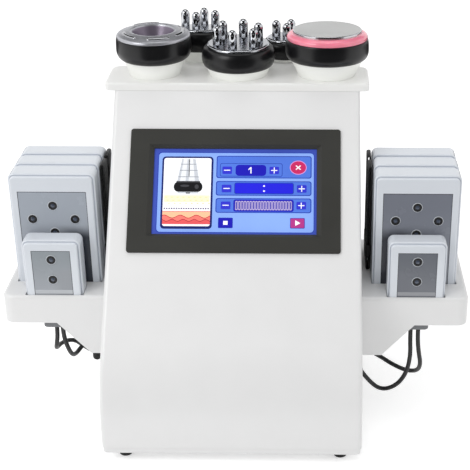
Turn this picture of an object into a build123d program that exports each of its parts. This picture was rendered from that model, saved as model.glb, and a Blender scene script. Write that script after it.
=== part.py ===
from build123d import *
import math
import os

# Desktop body-care machine: a white case with a sloping touch screen, a tray that holds five
# applicators with their heads up, and a wing with four light pads on each side.
# X points to the right, Y to the rear and Z up. All lengths are millimetres.
# The origin is on the table, under the middle of the machine.

os.makedirs("parts", exist_ok=True)

# Clearances that several pieces share
overrun = 4.0
running_gap = 0.3
edge_softening = 0.8

# Case: width over the side walls, and its outline seen from the side
case_width = 277.0
case_draft = 2.0
case_wall = 3.0
case_front = 183.0
case_rear = 176.0
case_bottom = 20.0
case_top = 345.0
case_shoulder = 200.0
shoulder_radius = 14.0
side_wall_rear = 97.0
brow_y = 34.0
face_lean = 40.1
chin_radius = 140.0
case_edge_radius = 5.0

# Rear cover: wall of the open bay, shelf, rear panel and the cheeks under the tray's tail
cover_wall = 2.5
bay_front = 48.0
bay_bend_drop = 45.0
cheek_inset = 7.0
cheek_front = 108.0
cheek_rear = 165.0

# Base plate and feet
base_inset = 1.0
base_corner_radius = 4.0
base_edge_radius = 2.5
foot_height = 12.0
foot_radius = 7.5
foot_x = 116.0
foot_inset = 20.0
foot_crown = 2.0

# Screen bezel and touch display, measured on the sloping face
screen_drop = 115.0
bezel_width = 230.0
bezel_height = 140.0
bezel_corner_radius = 3.0
bezel_rise = 2.5
bezel_body_width = 222.0
bezel_body_height = 132.0
bezel_body_depth = 9.0
window_top_width = 188.4
window_top_height = 104.0
window_width = 178.0
window_height = 97.0
window_bevel_depth = 4.0
window_lip = 1.5
display_width = 186.0
display_height = 105.0
display_depth = 9.0

# Tray: a wide front part for three applicators and a narrow rear part for two
tray_thickness = 9.0
tray_width = 294.0
tray_front = 34.0
tray_rear = 100.0
tray_tail_width = 168.0
tray_tail_rear = 170.0
tray_corner_radius = 12.0
tray_front_radius = 5.0
tray_inner_radius = 8.0
tray_edge_radius = 2.5
front_row_y = 73.0
rear_row_y = 134.0

# Handles that all five applicators share: grip below the tray, hollow inside
tail_length = 146.0
boot_length = 16.0
boot_radius = 8.5
boot_tip_radius = 6.0
grip_radius = 17.5
grip_end_radius = 14.0
handle_wall = 2.5
band_height = 22.5
band_bulge_share = 0.45
band_ring_width = 6.0
face_thickness = 3.0
face_crown = 1.6
pin_flat = 0.4

# Vacuum applicator, front left
vacuum_x = -95.0
vacuum_rise = 18.0
vacuum_band_height = 24.5
vacuum_seat_radius = 28.8
vacuum_collar_radius = 34.5
vacuum_band_radius = 42.2
vacuum_face_radius = 41.3
vacuum_cup_radius = 24.2
vacuum_cup_floor_radius = 19.0
vacuum_cup_depth = 14.0
vacuum_rim_rise = 7.5
vacuum_rim_edge = 2.4
vacuum_bore_radius = 3.0
vacuum_floor_thickness = 2.5
arc_inner_radius = 31.0
arc_width = 4.4
arc_height = 2.2
arc_count = 4
arc_start = 20.0
arc_sweep = 52.0

# Six-pin applicator, front middle
six_pin_x = 0.0
six_pin_rise = 10.0
six_pin_seat_radius = 33.0
six_pin_collar_radius = 36.6
six_pin_band_radius = 41.3
six_pin_face_radius = 35.2
six_pin_ring_radius = 24.0
six_pin_count = 6
six_pin_turn = 18.5
six_pin_pin_radius = 5.1
six_pin_pin_length = 20.5

# Cavitation applicator, front right
cavitation_x = 100.0
cavitation_tilt = -2.0
cavitation_rise = 17.5
cavitation_seat_radius = 32.5
cavitation_collar_radius = 41.0
cavitation_band_radius = 47.0
cavitation_face_radius = 45.5
light_ring_top_radius = 40.5
light_ring_height = 7.5
disc_radius = 38.5
disc_thickness = 3.2
horn_radius = 22.0
horn_length = 30.0

# Four-pin applicator, rear left
four_pin_x = -48.0
four_pin_tilt = -7.0
four_pin_rise = 9.6
four_pin_seat_radius = 24.0
four_pin_collar_radius = 28.5
four_pin_band_radius = 33.6
four_pin_face_radius = 27.5
four_pin_ring_radius = 18.0
four_pin_count = 4
four_pin_turn = -10.0
four_pin_pin_radius = 4.9
four_pin_pin_length = 20.0

# Three-pin applicator, rear right
three_pin_x = 51.0
three_pin_rise = 2.5
three_pin_band_height = 19.5
three_pin_seat_radius = 21.2
three_pin_collar_radius = 22.0
three_pin_band_radius = 26.8
three_pin_face_radius = 21.1
three_pin_ring_radius = 10.3
three_pin_count = 3
three_pin_turn = 45.0
three_pin_pin_radius = 5.0
three_pin_pin_length = 18.5

# Wings: section seen from the front, and their depth
wing_floor = 147.5
wing_underside = 114.0
wing_reach = 256.5
wing_front = 81.0
wing_rear = 70.0
wing_wall = 3.0
wing_end_wall = 6.5
wing_corner_radius = 12.0
wing_edge_radius = 4.0
gusset_bottom = 75.5
gusset_foot = 162.3
gusset_head = 198.0
pocket_depth = 8.0
pocket_gap = 0.4

# Light pads: three large and one small on each wing
pad_x = 198.5
pad_running_gap = 0.3
large_pad_width = 94.5
large_pad_height = 129.0
large_pad_front = 46.0
large_pad_depth = 28.0
large_pad_pitch = 30.5
large_pad_count = 3
large_window_width = 75.0
large_window_height = 111.5
large_window_drop = 19.5
large_lens_drop = 52.0
large_lens_spread = 23.3
large_lens_rise = 16.0
small_pad_width = 63.5
small_pad_height = 64.5
small_pad_front = 77.5
small_pad_depth = 25.5
small_window_width = 42.5
small_window_height = 55.5
small_window_drop = 11.0
small_lens_drop = 33.8
small_lens_rise = 12.0
pad_frame_inset = 2.4
pad_frame_depth = 4.0
pad_corner_radius = 7.0
pad_front_rounding = 1.6
pad_rear_rounding = 3.0
pad_wall = 2.0
window_thickness = 1.3
window_recess = 1.6
window_ledge = 3.0
lens_radius = 4.5
lens_bore_radius = 2.7
lens_rise = 0.8
lens_bore_depth = 1.1

# Elastic straps folded upright between the rear pads and the case
strap_thickness = 2.0
strap_loop_width = 5.6
strap_loop_height = 127.0
strap_band_width = 22.0
strap_gap = 0.4
strap_count = 2

# Cord outlets under the wings, and the domes where the pad leads enter the case
outlet_inner = 191.0
outlet_width = 23.0
outlet_length = 44.0
outlet_bottom = 106.5
outlet_corner_radius = 5.0
dome_radius = 6.0
dome_rise = 4.5
dome_rounding = 3.5
gland_radius = 4.7
gland_drop = 11.0
gland_x = -157.4
gland_inset = 6.0

# Pad leads
lead_diameter = 5.0
lead_arc_share = 0.45

# Rear panel fittings: five applicator sockets, mains inlet with switch, vacuum pump, fan
socket_z = 168.0
socket_pitch = 40.0
socket_count = 5
socket_flange_radius = 9.0
socket_flange_thickness = 2.5
socket_barrel_radius = 7.0
socket_barrel_length = 12.0
socket_nose_length = 4.5
socket_dish_radius = 5.0
socket_dish_depth = 2.0
inlet_x = -95.0
inlet_z = 72.0
inlet_flange_width = 36.0
inlet_flange_height = 78.0
inlet_flange_thickness = 3.0
inlet_body_width = 29.0
inlet_body_height = 70.0
inlet_body_depth = 26.0
inlet_socket_width = 24.0
inlet_socket_height = 17.0
inlet_socket_depth = 16.0
inlet_socket_drop = 19.0
inlet_blade_width = 2.0
inlet_blade_height = 6.0
inlet_blade_length = 11.0
inlet_blade_spread = 7.0
inlet_blade_rise = 3.0
switch_rise = 20.0
switch_width = 12.6
switch_height = 20.0
switch_well_depth = 9.0
rocker_width = 11.8
rocker_height = 18.4
rocker_proud = 2.2
rocker_depth = 5.0
rocker_hinge_inset = 1.0
fan_x = 62.0
fan_z = 106.0
fan_size = 80.0
fan_depth = 25.0
fan_bore_radius = 37.5
fan_hub_radius = 15.0
fan_blade_count = 7
fan_blade_tip_radius = 36.0
fan_blade_thickness = 2.0
fan_blade_pitch_angle = 38.0
fan_blade_depth = 15.0
fan_motor_radius = 14.0
fan_motor_depth = 5.0
fan_strut_width = 5.0
grille_slot_height = 4.5
grille_slot_pitch = 9.0
grille_slot_count = 7
grille_radius = 35.0

# Vacuum pump behind the panel
pump_x = -28.0
pump_axis_z = 62.0
pump_radius = 24.0
pump_length = 78.0
pump_rear_gap = 14.0
pump_head_size = 44.0
pump_head_depth = 22.0
pump_foot_width = 38.0
nozzle_radius = 4.5
nozzle_bore_radius = 2.6
nozzle_barb_radius = 5.4
nozzle_barb_length = 3.0

# Control board on posts and power supply on the base
board_width = 170.0
board_depth = 90.0
board_thickness = 1.6
board_y = -95.0
board_post_radius = 3.5
board_post_height = 8.0
board_post_inset = 8.0
board_chip_size = 26.0
board_chip_height = 6.0
board_sink_width = 60.0
board_sink_depth = 30.0
board_sink_height = 24.0
board_fin_count = 6
board_fin_gap_share = 0.5
supply_x = 62.0
supply_y = 55.0
supply_width = 98.0
supply_length = 130.0
supply_height = 40.0
supply_wall = 1.5
supply_slot_width = 3.0
supply_slot_length = 26.0
supply_slot_pitch = 9.0
supply_slot_count = 8

# Screws of the rear panel
screw_head_radius = 3.5
screw_head_height = 2.0
screw_shank_radius = 1.6
screw_length = 9.0
screw_x = 124.0
screw_low_z = 34.0
screw_high_z = 188.0
screw_drive_width = 1.0
screw_drive_length = 4.0
screw_drive_depth = 1.0

# Places worked out from the sizes above
case_half = case_width / 2
inner_half = case_half - case_draft - case_wall
lean = math.radians(face_lean)
draft_angle = math.atan(case_draft / (case_top - case_bottom))
chin_z = case_top - (brow_y + case_front) / math.tan(lean)
tray_top = case_top + tray_thickness
display_front = window_bevel_depth - bezel_rise + window_lip
face_plane = Plane(
    origin=(0, brow_y, case_top),
    x_dir=(1, 0, 0),
    z_dir=(0, -math.cos(lean), math.sin(lean)),
)
screen_center = (0, -screen_drop)
pocket_floor = wing_floor - pocket_depth
panel_inside = case_rear - cover_wall


def case_outline(inset, low, top, rear_points):
    # Side outline of the case, with its front and slope moved inward by inset
    brow = brow_y + inset / math.cos(lean)
    front = -(case_front - inset)
    chin = case_top - (brow - front) / math.tan(lean)
    Polyline(
        (front, low),
        (front, chin),
        (brow + (top - case_top) * math.tan(lean), top),
        *rear_points,
        close=True,
    )
    return (front, chin, 0)


# Envelope of the case, which the wings are trimmed to
with BuildPart() as case_envelope:
    with BuildSketch(Plane.YZ) as envelope_outline:
        with BuildLine():
            envelope_chin = case_outline(
                0,
                case_bottom,
                case_top,
                [
                    (side_wall_rear, case_top),
                    (side_wall_rear, case_shoulder),
                    (case_rear, case_shoulder),
                    (case_rear, case_bottom),
                ],
            )
        make_face()
        fillet(envelope_outline.vertices().sort_by_distance(envelope_chin)[0], chin_radius)
        shoulder_corner = (side_wall_rear, case_shoulder, 0)
        fillet(
            envelope_outline.vertices().sort_by_distance(shoulder_corner)[0], shoulder_radius
        )
    extrude(amount=case_half, both=True)
    for side in (-1, 1):
        side_plane = Plane(
            origin=(side * case_half, 0, case_bottom),
            z_dir=(side * math.cos(draft_angle), 0, math.sin(draft_angle)),
        )
        split(bisect_by=side_plane, keep=Keep.BOTTOM)


def is_front_corner(edge):
    # The two long edges between the sloping front and the side walls
    middle = edge.center()
    beside = abs(middle.X) > inner_half + case_wall / 2
    return beside and middle.Y < brow_y and middle.Z > case_bottom + edge_softening


# Case shell: front wall and side walls, open below, at the rear and under the tray
with BuildPart() as case_shell:
    add(case_envelope.part)
    fillet(case_shell.edges().filter_by(is_front_corner), case_edge_radius)
    with BuildSketch(Plane.YZ) as inner_outline:
        with BuildLine():
            inner_chin = case_outline(
                case_wall,
                case_bottom - overrun,
                case_top + overrun,
                [
                    (case_rear + overrun, case_top + overrun),
                    (case_rear + overrun, case_bottom - overrun),
                ],
            )
        make_face()
        fillet(
            inner_outline.vertices().sort_by_distance(inner_chin)[0], chin_radius - case_wall
        )
    extrude(amount=inner_half, both=True, mode=Mode.SUBTRACT)
    with BuildSketch(face_plane):
        with Locations(screen_center):
            Rectangle(bezel_body_width, bezel_body_height)
    extrude(amount=case_wall + overrun, both=True, mode=Mode.SUBTRACT)
case_shell.part.label = "case_shell"
export_step(case_shell.part, "parts/case_shell.step")

# Rear cover in one piece, with the holes of its fittings
bay_bend_z = case_top - bay_bend_drop
bay_top_y = brow_y + case_wall / math.cos(lean) + running_gap
socket_places = [
    ((place - (socket_count - 1) / 2) * socket_pitch, socket_z) for place in range(socket_count)
]
screw_places = [
    (side * screw_x, height) for side in (-1, 1) for height in (screw_low_z, screw_high_z)
]
rear_plane = Plane(origin=(0, case_rear, 0), x_dir=(1, 0, 0), z_dir=(0, -1, 0))
cheek_x = tray_tail_width / 2 - cheek_inset
with BuildPart() as rear_cover:
    with BuildSketch(Plane.YZ):
        with BuildLine():
            Polyline(
                (bay_top_y, case_top),
                (bay_front, bay_bend_z),
                (bay_front, case_shoulder - cover_wall),
                (panel_inside, case_shoulder - cover_wall),
                (panel_inside, case_bottom),
                (case_rear, case_bottom),
                (case_rear, case_shoulder),
                (bay_front + cover_wall, case_shoulder),
                (bay_front + cover_wall, bay_bend_z),
                (bay_top_y + cover_wall, case_top),
                close=True,
            )
        make_face()
    extrude(amount=inner_half, both=True)
    with BuildSketch(Plane.XY.offset(case_shoulder)):
        for side in (-1, 1):
            with Locations((side * cheek_x, (cheek_front + cheek_rear) / 2)):
                Rectangle(cover_wall, cheek_rear - cheek_front)
    extrude(amount=case_top - case_shoulder)
    with BuildSketch(rear_plane):
        with Locations(*socket_places):
            Circle(socket_barrel_radius)
        with Locations((inlet_x, inlet_z)):
            Rectangle(inlet_body_width, inlet_body_height)
        with Locations((pump_x, pump_axis_z)):
            Circle(nozzle_barb_radius + running_gap)
        with Locations(*screw_places):
            Circle(screw_shank_radius)
        for slot in range(grille_slot_count):
            rise = (slot - (grille_slot_count - 1) / 2) * grille_slot_pitch
            slot_length = 2 * math.sqrt(grille_radius**2 - rise**2)
            with Locations((fan_x, fan_z + rise)):
                SlotOverall(slot_length, grille_slot_height)
    extrude(amount=cover_wall, mode=Mode.SUBTRACT)
rear_cover.part.label = "rear_cover"
export_step(rear_cover.part, "parts/rear_cover.step")

# Base plate with the posts of the control board
board_z = case_bottom + board_post_height
board_post_places = [
    (side * (board_width / 2 - board_post_inset), board_y + end * (board_depth / 2 - board_post_inset))
    for side in (-1, 1)
    for end in (-1, 1)
]
base_length = case_front + case_rear - 2 * base_inset
base_center_y = (case_rear - case_front) / 2
with BuildPart() as base_plate:
    with BuildSketch(Plane.XY.offset(foot_height)):
        with Locations((0, base_center_y)):
            RectangleRounded(case_width - 2 * base_inset, base_length, base_corner_radius)
    extrude(amount=case_bottom - foot_height)
    fillet(base_plate.edges().group_by(Axis.Z)[0], base_edge_radius)
    with BuildSketch(Plane.XY.offset(case_bottom)):
        with Locations(*board_post_places):
            Circle(board_post_radius)
    extrude(amount=board_post_height)
base_plate.part.label = "base_plate"
export_step(base_plate.part, "parts/base_plate.step")

# Feet: four soft buttons under the base
foot_places = [
    (side * foot_x, y)
    for side in (-1, 1)
    for y in (-(case_front - foot_inset), case_rear - foot_inset)
]
with BuildPart() as rubber_feet:
    with BuildSketch():
        with Locations(*foot_places):
            Circle(foot_radius)
    extrude(amount=foot_height)
    fillet(rubber_feet.edges().group_by(Axis.Z)[0], foot_crown)
rubber_feet.part.label = "rubber_feet"
export_step(rubber_feet.part, "parts/rubber_feet.step")

# Screen bezel: a flat frame on the sloping face with a bevelled window
with BuildPart() as screen_bezel:
    with BuildSketch(face_plane):
        with Locations(screen_center):
            RectangleRounded(bezel_width, bezel_height, bezel_corner_radius)
    extrude(amount=bezel_rise)
    outer_face = screen_bezel.faces().sort_by(Axis(face_plane.origin, face_plane.z_dir))[-1]
    fillet(outer_face.edges(), edge_softening)
    with BuildSketch(face_plane):
        with Locations(screen_center):
            Rectangle(bezel_body_width, bezel_body_height)
    extrude(amount=-bezel_body_depth)
    with BuildSketch(face_plane.offset(bezel_rise)):
        with Locations(screen_center):
            Rectangle(window_top_width, window_top_height)
    with BuildSketch(face_plane.offset(bezel_rise - window_bevel_depth)):
        with Locations(screen_center):
            Rectangle(window_width, window_height)
    loft(mode=Mode.SUBTRACT)
    with BuildSketch(face_plane.offset(bezel_rise - window_bevel_depth)):
        with Locations(screen_center):
            Rectangle(window_width, window_height)
    extrude(amount=-bezel_body_depth, mode=Mode.SUBTRACT)
    with BuildSketch(face_plane.offset(-display_front)):
        with Locations(screen_center):
            Rectangle(display_width, display_height)
    extrude(amount=-bezel_body_depth, mode=Mode.SUBTRACT)
screen_bezel.part.label = "screen_bezel"
export_step(screen_bezel.part, "parts/screen_bezel.step")

# Touch display behind the window
with BuildPart() as touch_display:
    with BuildSketch(face_plane.offset(-display_front)):
        with Locations(screen_center):
            Rectangle(display_width, display_height)
    extrude(amount=-display_depth)
touch_display.part.label = "touch_display"
export_step(touch_display.part, "parts/touch_display.step")


def turned(plane, direction, angle):
    # The same plane, turned about a line through its origin
    spin = Axis(plane.origin, direction)
    return Plane(
        origin=plane.origin,
        x_dir=plane.x_dir.rotate(spin, angle),
        z_dir=plane.z_dir.rotate(spin, angle),
    )


def applicator_frame(x, y, tilt):
    # Plane of an applicator's half profile: X outward, Y up its own axis, from the tray's top
    lean_forward = math.radians(tilt)
    return Plane(
        origin=(x, y, tray_top),
        x_dir=(1, 0, 0),
        z_dir=(0, -math.cos(lean_forward), -math.sin(lean_forward)),
    )


def cone_slope(seat_radius, collar_radius, rise):
    return (collar_radius - seat_radius) / rise


vacuum_frame = applicator_frame(vacuum_x, front_row_y, 0)
six_pin_frame = applicator_frame(six_pin_x, front_row_y, 0)
cavitation_frame = applicator_frame(cavitation_x, front_row_y, cavitation_tilt)
four_pin_frame = applicator_frame(four_pin_x, rear_row_y, four_pin_tilt)
three_pin_frame = applicator_frame(three_pin_x, rear_row_y, 0)

seats = [
    (vacuum_frame, vacuum_seat_radius, vacuum_collar_radius, vacuum_rise),
    (six_pin_frame, six_pin_seat_radius, six_pin_collar_radius, six_pin_rise),
    (cavitation_frame, cavitation_seat_radius, cavitation_collar_radius, cavitation_rise),
    (four_pin_frame, four_pin_seat_radius, four_pin_collar_radius, four_pin_rise),
    (three_pin_frame, three_pin_seat_radius, three_pin_collar_radius, three_pin_rise),
]

# Tray with a tapered seat for each applicator
tray_rear_corners = [(side * tray_width / 2, tray_rear, 0) for side in (-1, 1)]
tray_rear_corners += [(side * tray_tail_width / 2, tray_tail_rear, 0) for side in (-1, 1)]
tray_inner_corners = [(side * tray_tail_width / 2, tray_rear, 0) for side in (-1, 1)]
tray_front_corners = [(side * tray_width / 2, tray_front, 0) for side in (-1, 1)]
with BuildPart() as top_tray:
    with BuildSketch(Plane.XY.offset(case_top)) as tray_outline:
        with Locations((0, (tray_front + tray_rear) / 2)):
            Rectangle(tray_width, tray_rear - tray_front)
        with Locations((0, (tray_front + tray_tail_rear) / 2)):
            Rectangle(tray_tail_width, tray_tail_rear - tray_front)
        for corners, radius in (
            (tray_rear_corners, tray_corner_radius),
            (tray_inner_corners, tray_inner_radius),
            (tray_front_corners, tray_front_radius),
        ):
            for corner in corners:
                fillet(tray_outline.vertices().sort_by_distance(corner)[0], radius)
    extrude(amount=tray_thickness)
    fillet(top_tray.edges().group_by(Axis.Z)[-1], tray_edge_radius)
    fillet(top_tray.edges().group_by(Axis.Z)[0], edge_softening)
    for frame, seat_radius, collar_radius, rise in seats:
        slope = cone_slope(seat_radius, collar_radius, rise)
        mouth = seat_radius + running_gap
        with BuildSketch(frame):
            with BuildLine():
                Polyline(
                    (0, overrun),
                    (mouth + slope * overrun, overrun),
                    (mouth - slope * (tray_thickness + overrun), -(tray_thickness + overrun)),
                    (0, -(tray_thickness + overrun)),
                    close=True,
                )
            make_face()
        revolve(axis=Axis(frame.origin, frame.y_dir), mode=Mode.SUBTRACT)
top_tray.part.label = "top_tray"
export_step(top_tray.part, "parts/top_tray.step")


def build_handle(name, frame, seat_radius, collar_radius, rise):
    # White handle: cone above the tray, grip and cord boot below it, hollow inside
    slope = cone_slope(seat_radius, collar_radius, rise)
    neck_drop = (seat_radius - grip_radius) / slope
    grip_end = tail_length - boot_length
    spin = Axis(frame.origin, frame.y_dir)
    with BuildPart() as handle:
        with BuildSketch(frame):
            with BuildLine():
                Polyline(
                    (0, rise),
                    (collar_radius, rise),
                    (seat_radius, 0),
                    (grip_radius, -neck_drop),
                    (grip_end_radius, -grip_end),
                    (boot_radius, -grip_end),
                    (boot_tip_radius, -tail_length),
                    (0, -tail_length),
                    close=True,
                )
            make_face()
        revolve(axis=spin)
        with BuildSketch(frame):
            with BuildLine():
                Polyline(
                    (0, rise + overrun),
                    (collar_radius - handle_wall, rise + overrun),
                    (collar_radius - handle_wall, rise),
                    (seat_radius - handle_wall, 0),
                    (grip_radius - handle_wall, -neck_drop),
                    (grip_end_radius - handle_wall, -(grip_end - handle_wall)),
                    (0, -(grip_end - handle_wall)),
                    close=True,
                )
            make_face()
        revolve(axis=spin, mode=Mode.SUBTRACT)
    handle.part.label = f"{name}_handle"
    export_step(handle.part, f"parts/{name}_handle.step")


def build_band(name, frame, collar_radius, rise, band_radius, face_radius, height):
    # Soft black grip band with a round belly, between the handle and the head
    top = rise + height
    belly = rise + band_bulge_share * height
    inner_radius = collar_radius - band_ring_width
    with BuildPart() as band:
        with BuildSketch(frame):
            with BuildLine():
                TangentArc((band_radius, belly), (collar_radius, rise), tangent=(0, -1))
                TangentArc((band_radius, belly), (face_radius, top), tangent=(0, 1))
                Polyline(
                    (face_radius, top),
                    (inner_radius, top),
                    (inner_radius, rise),
                    (collar_radius, rise),
                )
            make_face()
        revolve(axis=Axis(frame.origin, frame.y_dir))
    band.part.label = f"{name}_grip_band"
    export_step(band.part, f"parts/{name}_grip_band.step")
    return top


def pin_places(count, ring_radius, turn):
    step = 2 * math.pi / count
    start = math.radians(turn)
    return [
        (ring_radius * math.cos(start + step * pin), ring_radius * math.sin(start + step * pin))
        for pin in range(count)
    ]


def build_pin_head(name, frame, base, face_radius, places, pin_radius, pin_length):
    # Domed metal plate with its round-nosed pins
    head_plane = Plane(
        origin=frame.origin + frame.y_dir * base, x_dir=frame.x_dir, z_dir=frame.y_dir
    )
    with BuildPart() as head:
        with BuildSketch(head_plane):
            Circle(face_radius)
        extrude(amount=face_thickness)
        fillet(head.faces().sort_by(Axis(frame.origin, frame.y_dir))[-1].edges(), face_crown)
        with BuildSketch(head_plane.offset(face_thickness)):
            with Locations(*places):
                Circle(pin_radius)
        extrude(amount=pin_length)
        pin_tops = head.faces().sort_by(Axis(frame.origin, frame.y_dir))[-len(places) :]
        fillet([edge for face in pin_tops for edge in face.edges()], pin_radius - pin_flat)
    head.part.label = f"{name}_head"
    export_step(head.part, f"parts/{name}_head.step")


# Six-pin, four-pin and three-pin applicators
pin_applicators = [
    (
        "six_pin",
        six_pin_frame,
        (six_pin_seat_radius, six_pin_collar_radius, six_pin_rise),
        (six_pin_band_radius, six_pin_face_radius, band_height),
        (six_pin_count, six_pin_ring_radius, six_pin_turn),
        (six_pin_pin_radius, six_pin_pin_length),
    ),
    (
        "four_pin",
        four_pin_frame,
        (four_pin_seat_radius, four_pin_collar_radius, four_pin_rise),
        (four_pin_band_radius, four_pin_face_radius, band_height),
        (four_pin_count, four_pin_ring_radius, four_pin_turn),
        (four_pin_pin_radius, four_pin_pin_length),
    ),
    (
        "three_pin",
        three_pin_frame,
        (three_pin_seat_radius, three_pin_collar_radius, three_pin_rise),
        (three_pin_band_radius, three_pin_face_radius, three_pin_band_height),
        (three_pin_count, three_pin_ring_radius, three_pin_turn),
        (three_pin_pin_radius, three_pin_pin_length),
    ),
]
for name, frame, cone, band, ring, pin in pin_applicators:
    seat_radius, collar_radius, rise = cone
    band_radius, face_radius, height = band
    build_handle(name, frame, seat_radius, collar_radius, rise)
    band_top = build_band(name, frame, collar_radius, rise, band_radius, face_radius, height)
    build_pin_head(name, frame, band_top, face_radius, pin_places(*ring), *pin)

# Vacuum applicator: silver ring with a suction cup and four arc electrodes
build_handle("vacuum", vacuum_frame, vacuum_seat_radius, vacuum_collar_radius, vacuum_rise)
vacuum_base = build_band(
    "vacuum",
    vacuum_frame,
    vacuum_collar_radius,
    vacuum_rise,
    vacuum_band_radius,
    vacuum_face_radius,
    vacuum_band_height,
)
vacuum_spin = Axis(vacuum_frame.origin, vacuum_frame.y_dir)
vacuum_crest = vacuum_base + vacuum_rim_rise
vacuum_edge_top = vacuum_base + vacuum_rim_edge
rim_slope = (vacuum_rim_rise - vacuum_rim_edge) / (vacuum_face_radius - vacuum_cup_radius)
with BuildPart() as vacuum_ring:
    with BuildSketch(vacuum_frame):
        with BuildLine():
            Polyline(
                (0, vacuum_crest - vacuum_cup_depth),
                (vacuum_cup_floor_radius, vacuum_crest - vacuum_cup_depth),
                (vacuum_cup_radius, vacuum_crest),
                (vacuum_face_radius, vacuum_edge_top),
                (vacuum_face_radius, vacuum_base),
                (vacuum_cup_radius + vacuum_floor_thickness, vacuum_base),
                (
                    vacuum_cup_floor_radius + vacuum_floor_thickness,
                    vacuum_crest - vacuum_cup_depth - vacuum_floor_thickness,
                ),
                (0, vacuum_crest - vacuum_cup_depth - vacuum_floor_thickness),
                close=True,
            )
        make_face()
    revolve(axis=vacuum_spin)
    with BuildSketch(
        Plane(
            origin=vacuum_frame.origin + vacuum_frame.y_dir * vacuum_crest,
            x_dir=vacuum_frame.x_dir,
            z_dir=vacuum_frame.y_dir,
        )
    ):
        Circle(vacuum_bore_radius)
    extrude(amount=-(vacuum_cup_depth + vacuum_floor_thickness + overrun), mode=Mode.SUBTRACT)
vacuum_ring.part.label = "vacuum_ring"
export_step(vacuum_ring.part, "parts/vacuum_ring.step")

arc_outer_radius = arc_inner_radius + arc_width
arc_inner_z = vacuum_crest - rim_slope * (arc_inner_radius - vacuum_cup_radius)
arc_outer_z = vacuum_crest - rim_slope * (arc_outer_radius - vacuum_cup_radius)
with BuildPart() as vacuum_electrodes:
    for arc in range(arc_count):
        turn = arc_start + arc * math.degrees(2 * math.pi) / arc_count
        arc_frame = turned(vacuum_frame, vacuum_frame.y_dir, turn - arc_sweep / 2)
        with BuildSketch(arc_frame):
            with BuildLine():
                Polyline(
                    (arc_inner_radius, arc_inner_z),
                    (arc_outer_radius, arc_outer_z),
                    (arc_outer_radius - edge_softening, arc_outer_z + arc_height),
                    (arc_inner_radius + edge_softening, arc_inner_z + arc_height),
                    close=True,
                )
            make_face()
        revolve(axis=vacuum_spin, revolution_arc=arc_sweep)
vacuum_electrodes.part.label = "vacuum_electrodes"
export_step(vacuum_electrodes.part, "parts/vacuum_electrodes.step")

# Cavitation applicator: light ring under a flat disc, with its transducer horn behind the disc
build_handle(
    "cavitation",
    cavitation_frame,
    cavitation_seat_radius,
    cavitation_collar_radius,
    cavitation_rise,
)
cavitation_base = build_band(
    "cavitation",
    cavitation_frame,
    cavitation_collar_radius,
    cavitation_rise,
    cavitation_band_radius,
    cavitation_face_radius,
    band_height,
)
cavitation_spin = Axis(cavitation_frame.origin, cavitation_frame.y_dir)
light_ring_top = cavitation_base + light_ring_height
light_ring_bore = horn_radius + running_gap
with BuildPart() as light_ring:
    with BuildSketch(cavitation_frame):
        with BuildLine():
            Polyline(
                (light_ring_bore, cavitation_base),
                (cavitation_face_radius, cavitation_base),
                (cavitation_face_radius, cavitation_base + light_ring_height / 2),
                (light_ring_top_radius, light_ring_top),
                (light_ring_bore, light_ring_top),
                close=True,
            )
        make_face()
    revolve(axis=cavitation_spin)
light_ring.part.label = "cavitation_light_ring"
export_step(light_ring.part, "parts/cavitation_light_ring.step")

with BuildPart() as cavitation_disc:
    with BuildSketch(cavitation_frame):
        with BuildLine():
            Polyline(
                (0, light_ring_top - horn_length),
                (horn_radius, light_ring_top - horn_length),
                (horn_radius, light_ring_top),
                (disc_radius, light_ring_top),
                (disc_radius, light_ring_top + disc_thickness - edge_softening),
                (disc_radius - edge_softening, light_ring_top + disc_thickness),
                (0, light_ring_top + disc_thickness),
                close=True,
            )
        make_face()
    revolve(axis=cavitation_spin)
cavitation_disc.part.label = "cavitation_disc"
export_step(cavitation_disc.part, "parts/cavitation_disc.step")


def pad_places(side):
    # Name, width, height, depth and front place of each pad on one wing, front to rear
    word = "left" if side < 0 else "right"
    places = [
        (f"{word}_small_pad", small_pad_width, small_pad_height, small_pad_depth, -small_pad_front)
    ]
    for row in range(large_pad_count):
        front = -large_pad_front + row * large_pad_pitch
        places.append(
            (
                f"{word}_large_pad_{row + 1}",
                large_pad_width,
                large_pad_height,
                large_pad_depth,
                front,
            )
        )
    return places


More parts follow.
